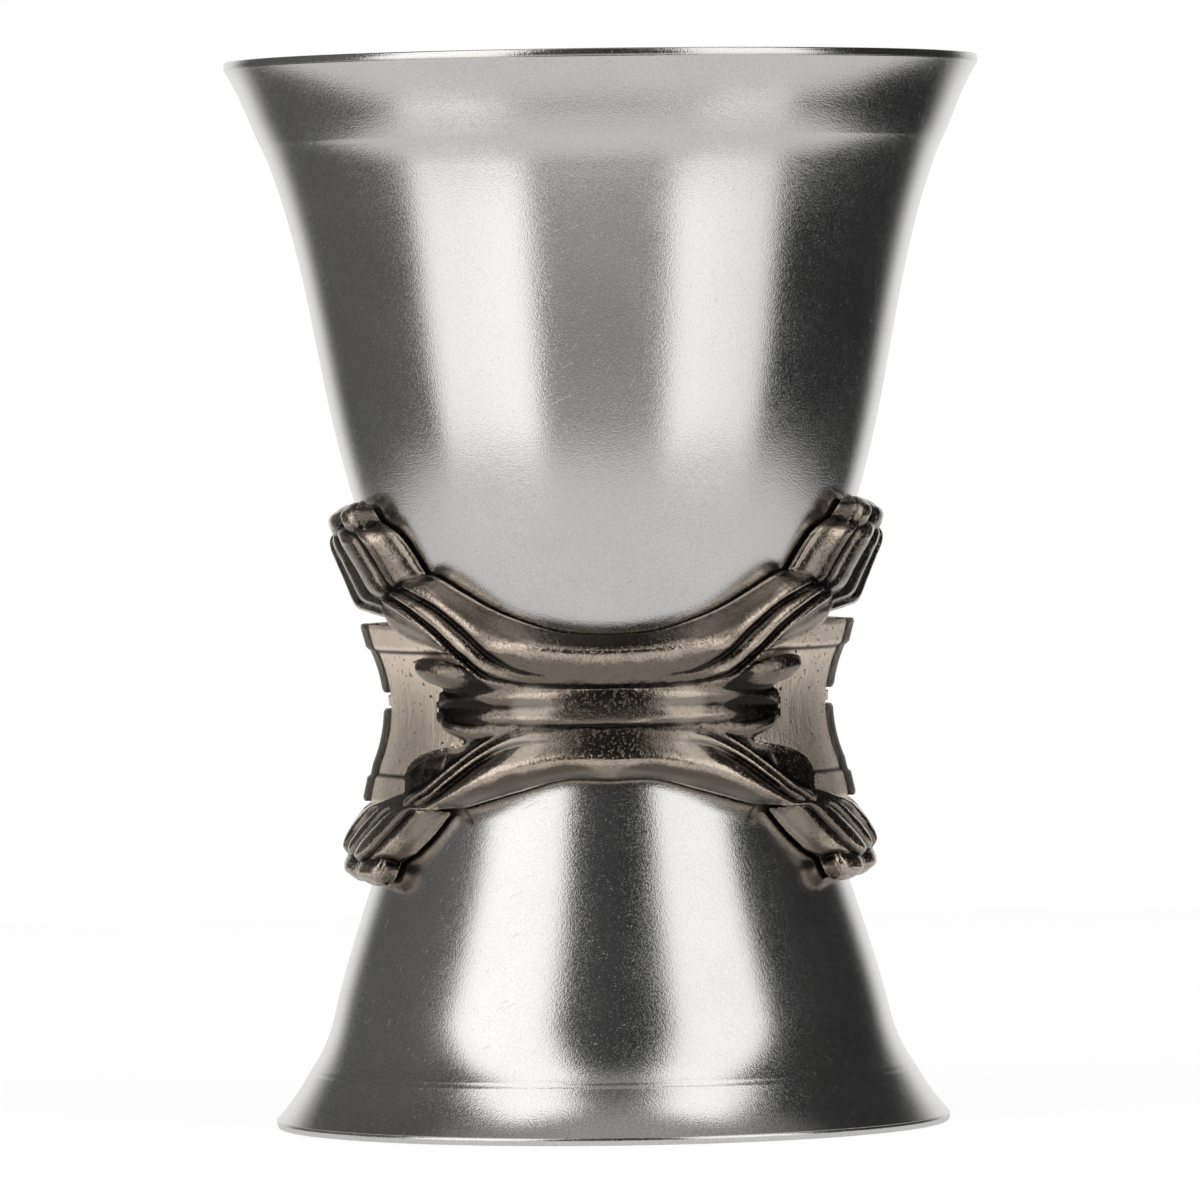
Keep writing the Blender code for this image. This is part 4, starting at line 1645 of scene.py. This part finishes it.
@dataclass(frozen=True)
class AntiqueCast:
    """Finish of the leaf mounts: warm cast metal, worn bright on ridges, with patina and painted shade in
    creases.
    """

    name: str = "antique_cast"
    worn: Colour = (0.55, 0.465, 0.385)
    body: Colour = (0.172, 0.145, 0.12)
    # Near black, for the pits, for the patina and painted shade of the creases, and for the painted shade
    # patches.
    dark: Colour = (0.022, 0.019, 0.017)
    # Bright bared metal, also the painted highlight of the rubbed patches.
    bared_highlight: Colour = (0.45, 0.4, 0.34)
    polish: float = 0.15
    dull: float = 0.26
    ridge_span: Span = (-0.1, 0.2)
    crease_patina_and_shade_span: Span = (0.5, 0.75)
    roughness_span: Span = (0.25, 0.75)
    patch_scale: float = 0.5
    patch_weight: float = 0.25
    grain_scale: float = 6.0
    grain_weight: float = 0.3
    grain_depth: float = 0.017 * MM
    pit_scale: float = 4.2
    pit_span: Span = (0.57, 0.68)
    pit_darkness: float = 0.12
    pit_weight: float = -0.8
    painted_shade_weight: float = 0.45
    edge_weight: float = 0.04
    edge_grain: float = 0.8
    rubbed_highlight_share: float = 0.5
    rubbed_highlight_grain: float = -0.8

    def material(self) -> bpy.types.Material:
        """Draw the material."""
        sketch = ShaderSketch(self.name)
        recess, painted_shade, rubbed_highlight, edge = (
            sketch.add("ShaderNodeAttribute", attribute_name=name).outputs["Fac"]
            for name in ("recess", "painted_shade", "rubbed_highlight", "edge")
        )
        patches = sketch.noise(self.patch_scale, detail=5.0)
        grain = sketch.noise(self.grain_scale, detail=3.0)
        pits = sketch.ranged(sketch.noise(self.pit_scale, detail=2.0), *self.pit_span)
        uneven = recess
        for pattern, weight in ((patches, self.patch_weight), (grain, self.grain_weight)):
            uneven = sketch.maths("MULTIPLY_ADD", sketch.maths("SUBTRACT", pattern, 0.5), weight, uneven)
        # Painted shade: the painted shade patches push the colour towards the dark crease tone.
        for mask, weight in ((painted_shade, self.painted_shade_weight), (edge, self.edge_weight)):
            uneven = sketch.maths("MULTIPLY_ADD", mask, weight, uneven)
        ridge = sketch.ranged(uneven, *self.ridge_span, 1.0, 0.0)
        # Patina and painted shade: the deepest recesses go near black.
        crease = sketch.ranged(uneven, *self.crease_patina_and_shade_span)
        colour = sketch.mixed(ridge, self.body, self.worn)
        colour = sketch.mixed(sketch.maths("MULTIPLY", pits, self.pit_darkness), colour, self.dark)
        colour = sketch.mixed(crease, colour, self.dark)
        # Wear and painted highlight: rubbed patches are mixed towards the bright bared colour.
        colour = sketch.mixed(sketch.maths("MULTIPLY", rubbed_highlight, self.rubbed_highlight_share), colour, self.bared_highlight)
        roughness = sketch.ranged(uneven, *self.roughness_span, self.polish, self.dull)
        height = sketch.maths("MULTIPLY_ADD", pits, self.pit_weight, grain)
        strength = sketch.maths("MULTIPLY_ADD", edge, self.edge_grain, 1.0)
        strength = sketch.maths("MULTIPLY_ADD", rubbed_highlight, self.rubbed_highlight_grain, strength)
        height = sketch.maths("MULTIPLY", height, strength)
        return sketch.dress(colour, roughness, sketch.bumped(height, self.grain_depth))


@dataclass(frozen=True)
class BrushedPanel:
    """Finish of the shells and tablets: tan metal, brushed upright, with small pits and painted rail shadow
    lines.
    """

    # Levels at which painted shadow lines run, where the rails step over the panel.
    lines: tuple[float, ...] = ()
    name: str = "brushed_panel"
    light: Colour = (0.95, 0.83, 0.7)
    dark: Colour = (0.83, 0.715, 0.595)
    # Dark tone of the pits, also the colour of the painted shadow lines.
    pit_and_shadow: Colour = (0.06, 0.05, 0.043)
    wear: float = 0.0
    polish: float = 0.44
    dull: float = 0.56
    colour_span: Span = (0.3, 0.7)
    roughness_span: Span = (0.2, 0.8)
    brushing_scale: Point = (5.0, 5.0, 0.25)
    grain_depth: float = 0.03 * MM
    pit_scale: float = 2.6
    pit_span: Span = (0.64, 0.72)
    pit_weight: float = -1.5
    # Width of each painted shadow line.
    line_width: float = 0.27 * MM

    def material(self) -> bpy.types.Material:
        """Draw the material."""
        sketch = ShaderSketch(self.name)
        brushing = sketch.noise(self.brushing_scale, detail=3.0)
        pit_start, pit_end = self.pit_span
        pits = sketch.ranged(sketch.noise(self.pit_scale, detail=2.0), pit_start - self.wear, pit_end)
        colour = sketch.mixed(sketch.ranged(brushing, *self.colour_span), self.dark, self.light)
        colour = sketch.mixed(pits, colour, self.pit_and_shadow)
        level = sketch.add("ShaderNodeSeparateXYZ", {0: sketch.coordinates}).outputs["Z"]
        # Painted shadow: a dark line at each given level, under the step of a rail.
        for line in self.lines:
            away = sketch.maths("ABSOLUTE", sketch.maths("SUBTRACT", level, line))
            colour = sketch.mixed(sketch.ranged(away, self.line_width, 0.0), colour, self.pit_and_shadow)
        roughness = sketch.ranged(brushing, *self.roughness_span, self.polish, self.dull)
        height = sketch.maths("MULTIPLY_ADD", pits, self.pit_weight, brushing)
        return sketch.dress(colour, roughness, sketch.bumped(height, self.grain_depth))


@dataclass(frozen=True)
class SoftSolder:
    """Finish of the solder disc: dull and lumpy."""

    name: str = "soft_solder"
    light: Colour = (0.48, 0.48, 0.49)
    dark: Colour = (0.3, 0.3, 0.31)
    polish: float = 0.4
    dull: float = 0.6
    colour_span: Span = (0.3, 0.7)
    roughness_span: Span = (0.2, 0.8)
    lump_scale: float = 0.6
    lump_depth: float = 0.08 * MM

    def material(self) -> bpy.types.Material:
        """Draw the material."""
        sketch = ShaderSketch(self.name)
        lumps = sketch.noise(self.lump_scale, detail=4.0)
        colour = sketch.mixed(sketch.ranged(lumps, *self.colour_span), self.dark, self.light)
        roughness = sketch.ranged(lumps, *self.roughness_span, self.polish, self.dull)
        return sketch.dress(colour, roughness, sketch.bumped(lumps, self.lump_depth))


@dataclass(frozen=True)
class Softbox:
    """A tall soft lamp that faces the jigger, dimmer in its low part.

    It holds the bearing, half width and lean as angles, the brightness of the high and of the low part, and
    the distance and the levels of the foot, head and parting.
    """

    name: str
    bearing: float
    half_width: float
    lean: float
    brightness: float
    low_brightness: float
    distance: float = 0.6
    foot: float = -0.36
    head: float = 1.3
    parting: float = 0.05

    def build(self) -> None:
        """Put both parts of the lamp in the scene."""
        self.part("low", self.foot, self.parting, self.low_brightness)
        self.part("high", self.parting, self.head, self.brightness)

    def part(self, label: str, foot: float, head: float, brightness: float) -> None:
        """Put one part of the lamp in the scene.

        Args:
            label: Word for the part.
            foot: Level of its lower edge along the lamp.
            head: Level of its upper edge along the lamp.
            brightness: How bright it looks.
        """
        width = 2 * self.distance * math.tan(self.half_width)
        data = bpy.data.lights.new(f"{self.name}_{label}", "AREA")
        data.shape = "RECTANGLE"
        data.size = width
        data.size_y = head - foot
        data.energy = brightness * math.pi * width * (head - foot)
        lamp = bpy.data.objects.new(data.name, data)
        bpy.context.scene.collection.objects.link(lamp)
        direction = Vector((math.sin(self.bearing), -math.cos(self.bearing), 0.0))
        turn = direction.to_track_quat("Z", "Y") @ Quaternion((0.0, 0.0, 1.0), self.lean)
        middle = (self.foot + self.head) / 2
        along = turn @ Vector((0.0, (foot + head) / 2 - middle, 0.0))
        lamp.location = direction * self.distance + Vector((0.0, 0.0, middle)) + along
        lamp.rotation_euler = turn.to_euler()
        lamp.visible_camera = False


@dataclass
class Studio:
    """A pale floor, two soft lamps, a white background, and the camera."""

    floor_half_width: float = 0.142
    floor_front: float = 0.113
    floor_back: float = 0.32
    floor_steps: int = 48
    floor_colour: Colour = (0.92, 0.92, 0.92)
    floor_seen: float = 0.8
    floor_seen_level: float = 1.1
    floor_mirrored: float = 0.6
    floor_mirrored_level: float = 0.95
    floor_roughness: float = 0.7
    mottle_scale: float = 0.05
    mottle_shade: float = 0.97
    camera_distance: float = 0.836
    camera_height: float = 0.0565
    aim_height: float = 0.03934
    aim_side: float = -0.00053
    roll: float = -0.0127
    lens: float = 333.7
    sensor: float = 36.0
    clip: Span = (0.05, 20.0)
    fill: float = 0.4
    room_left: float = 0.13
    room_right: float = 0.03
    room_below: float = 0.42
    ceiling: float = 0.4
    wall_span: Span = (0.76, 0.9)
    below_span: Span = (-0.1, -0.4)
    front_span: Span = (-0.3, -0.8)
    side_span: Span = (-0.85, 0.1)
    ceiling_span: Span = (0.75, 0.97)
    lamps: tuple[Softbox, ...] = (
        Softbox(
            "left_softbox",
            bearing=math.radians(-47.0),
            half_width=math.radians(23.8),
            lean=math.radians(-4.5),
            brightness=1.52,
            low_brightness=1.3,
        ),
        Softbox(
            "right_softbox",
            bearing=math.radians(46.5),
            half_width=math.radians(21.9),
            lean=math.radians(1.0),
            brightness=1.46,
            low_brightness=1.15,
        ),
    )

    def floor(self) -> None:
        """Lay the floor."""
        builder = bmesh.new()
        outline = [
            (-self.floor_half_width * math.cos(turn), -self.floor_front * math.sin(turn))
            for turn in spaced(0.0, math.pi, self.floor_steps)
        ]
        outline += [(self.floor_half_width, self.floor_back), (-self.floor_half_width, self.floor_back)]
        builder.faces.new([builder.verts.new((x, y, 0.0)) for x, y in outline])
        mesh = bpy.data.meshes.new("floor")
        builder.to_mesh(mesh)
        builder.free()
        sketch = ShaderSketch("pale_floor")
        mottled = sketch.noise(self.mottle_scale, detail=3.0)
        darker = tuple(channel * self.mottle_shade for channel in self.floor_colour)
        shade = sketch.mixed(mottled, self.floor_colour, darker)
        sketch.tree.links.new(shade, sketch.shader.inputs["Base Color"])
        sketch.shader.inputs["Roughness"].default_value = self.floor_roughness
        path = sketch.add("ShaderNodeLightPath").outputs
        seen = sketch.maths("MAXIMUM", path["Is Camera Ray"], path["Is Transmission Ray"])
        step = self.floor_mirrored_level - self.floor_seen_level
        level = sketch.maths("MULTIPLY_ADD", path["Is Glossy Ray"], step, self.floor_seen_level)
        glow = sketch.add("ShaderNodeEmission", {"Strength": level})
        share = sketch.maths("MULTIPLY", path["Is Glossy Ray"], self.floor_mirrored)
        share = sketch.maths("MULTIPLY_ADD", seen, self.floor_seen, share)
        both = sketch.add("ShaderNodeMixShader", {0: share, 1: sketch.shader.outputs[0], 2: glow.outputs[0]})
        output = next(node for node in sketch.tree.nodes if node.type == "OUTPUT_MATERIAL")
        sketch.tree.links.new(both.outputs[0], output.inputs["Surface"])
        floor = add_object("floor", mesh, sketch.material)

    def surroundings(self) -> None:
        """Set the world: white to the camera, a dim room with a white wall to metal, and else soft fill."""
        world = bpy.data.worlds.new("studio")
        world.use_nodes = True
        bpy.context.scene.world = world
        sketch = NodeSketch(world.node_tree)
        world.node_tree.nodes.clear()
        direction = sketch.add("ShaderNodeTexCoord").outputs["Generated"]
        axes = sketch.add("ShaderNodeSeparateXYZ", {0: direction}).outputs

        def ramp(axis: str, span: Span, low: float = 0.0, high: float = 1.0) -> bpy.types.NodeSocket:
            """A level that goes from low to high over a span of the direction's part along an axis."""
            inputs = {0: axes[axis], 1: span[0], 2: span[1], 3: low, 4: high}
            return sketch.add("ShaderNodeMapRange", inputs).outputs[0]

        behind = ramp("Y", self.wall_span)
        low_front = sketch.maths("MULTIPLY", ramp("Z", self.below_span), ramp("Y", self.front_span))
        low_front = sketch.maths("MULTIPLY", low_front, self.room_below)
        room = ramp("X", self.side_span, self.room_left, self.room_right)
        room = sketch.maths("MAXIMUM", room, ramp("Z", self.ceiling_span, high=self.ceiling))
        mirrored = sketch.maths("MAXIMUM", sketch.maths("MAXIMUM", room, low_front), behind)
        path = sketch.add("ShaderNodeLightPath").outputs
        # Inputs 2 and 3 are the number sockets of the mix node.
        unseen = {0: path["Is Glossy Ray"], 2: self.fill, 3: mirrored}
        glossy = sketch.add("ShaderNodeMix", unseen, data_type="FLOAT")
        seen = sketch.maths("MAXIMUM", path["Is Camera Ray"], path["Is Transmission Ray"])
        level = sketch.add("ShaderNodeMix", {0: seen, 2: glossy.outputs[0], 3: 1.0}, data_type="FLOAT")
        background = sketch.add("ShaderNodeBackground", {"Strength": level.outputs[0]})
        background.inputs["Color"].default_value = (1.0, 1.0, 1.0, 1.0)
        sketch.add("ShaderNodeOutputWorld", {"Surface": background.outputs[0]})

    def camera(self) -> None:
        """Set up the camera."""
        data = bpy.data.cameras.new("camera")
        data.lens = self.lens
        data.sensor_width = self.sensor
        data.clip_start, data.clip_end = self.clip
        camera = bpy.data.objects.new("camera", data)
        bpy.context.scene.collection.objects.link(camera)
        camera.location = (self.aim_side, -self.camera_distance, self.camera_height)
        aim = Vector((self.aim_side, 0.0, self.aim_height)) - camera.location
        level = aim.to_track_quat("-Z", "Y").to_matrix()
        camera.rotation_euler = (level @ Matrix.Rotation(self.roll, 3, "Z")).to_euler()
        bpy.context.scene.camera = camera

    def build(self) -> None:
        """Set up the whole studio."""
        self.floor()
        self.surroundings()
        for lamp in self.lamps:
            lamp.build()
        self.camera()
        bpy.context.scene.view_settings.view_transform = "Standard"


def large_cup() -> Cup:
    """The large cup, mouth up."""
    low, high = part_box("upper_cup")
    depth = high.z - low.z
    neck, ridge, lip = depth - 8.3 * MM, depth - 6.2 * MM, depth - 4.0 * MM
    stations = (
        Station(FOOT_ROUND, FOOT_RADIUS, 0.36, 0.36),
        Station(20.7 * MM, 20.4 * MM, 0.22, 0.22),
        Station(neck, 24.77 * MM, 0.355, 0.355),
        Station(ridge, 25.67 * MM, 0.52, 0.46),
        Station(lip, 26.6 * MM, 0.4, 0.4),
        Station(depth - RIM_BAND, high.x, 0.64, 0.64),
    )
    return Cup("upper_cup", Mouth.UP, stations, depth, low.z)


def small_cup() -> Cup:
    """The small cup, mouth down."""
    low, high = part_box("lower_cup")
    depth = high.z - low.z
    ankle, lip = depth - 8.6 * MM, depth - 4.2 * MM
    stations = (
        Station(FOOT_ROUND, FOOT_RADIUS, 0.33, 0.33),
        Station((FOOT_ROUND + ankle) / 2, 17.6 * MM, 0.34, 0.34),
        Station(ankle, 20.8 * MM, 0.23, 0.23),
        Station(lip, 22.74 * MM, 0.74, 0.56, 0.05 * MM),
        Station(depth - RIM_BAND, high.x, 0.95, 0.95),
    )
    return Cup("lower_cup", Mouth.DOWN, stations, depth, high.z)


@dataclass
class SolderDisc:
    """The solder between the cup feet, with a rounded edge."""

    node: str = "foot_solder"
    round_steps: int = 8
    segments: int = 96

    def build(self, tree: TurnedTree, material: bpy.types.Material) -> bpy.types.Object:
        """Turn the disc.

        Args:
            tree: The lathe.
            material: Its finish.

        Returns:
            The disc.
        """
        low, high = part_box(self.node)
        radius, half = high.x, (high.z - low.z) / 2
        profile = [(0.0, 0.0)]
        for step in range(2 * self.round_steps + 1):
            turn = math.pi / 2 * (step / self.round_steps - 1)
            profile.append((radius - half + half * math.cos(turn), half + half * math.sin(turn)))
        profile.append((0.0, 2 * half))
        return turned_piece(self.node, profile, low.z, Mouth.UP, self.segments, tree, material)


def main() -> None:
    """Build the jigger piece by piece, dress it, and light it."""
    logging.basicConfig(level=logging.INFO, format="%(name)s: %(message)s")
    lathe, reeding = TurnedTree(), ReededTree()
    upper, lower = large_cup(), small_cup()
    steel = SatinSteel().material()
    for cup in (upper, lower):
        enrol(cup.build(lathe, steel), Slot.CUP)
    enrol(SolderDisc().build(lathe, SoftSolder().material()), Slot.SOLDER)

    waist = Waist(upper, lower)
    # Levels of the painted shadow lines at the feet of the rails.
    rail_shadow_levels = (
        waist.level + waist.panel_rise - waist.edge_slant,
        waist.level - waist.panel_drop + waist.edge_slant,
    )
    panel = BrushedPanel(rail_shadow_levels)
    # The right shell gets a darker copy of the panel finish, painted shade, with a few more pits.
    shaded_pitted = BrushedPanel(
        rail_shadow_levels, "shaded_pitted_panel", light=(0.9, 0.785, 0.66), dark=(0.68, 0.585, 0.49), wear=0.05
    )
    edging = BrushedPanel((), "tablet_edging", light=(0.3, 0.27, 0.24), dark=(0.16, 0.143, 0.127))
    plain_tan, shaded_pitted_tan, dark_tan = panel.material(), shaded_pitted.material(), edging.material()
    tablets = (
        SideTablet("upper", foot=1.2 * MM, head=waist.rail_rise, waist=waist),
        SideTablet("lower", foot=-waist.rail_drop, head=-0.1 * MM, waist=waist),
    )
    for shell in WaistShell(waist, tablets).build((shaded_pitted_tan, plain_tan)):
        enrol(shell, Slot.PANEL)
    for tablet in tablets:
        enrol(tablet.build("right", Turn.AS_DRAWN, reeding, dark_tan), Slot.PANEL)
        enrol(tablet.build("left", Turn.HALF_ROUND, reeding, dark_tan), Slot.PANEL)
    for mount in LeafMount(waist).build(AntiqueCast().material()):
        enrol(mount, Slot.CAST)

    Studio().build()


if __name__ == "__main__":
    main()
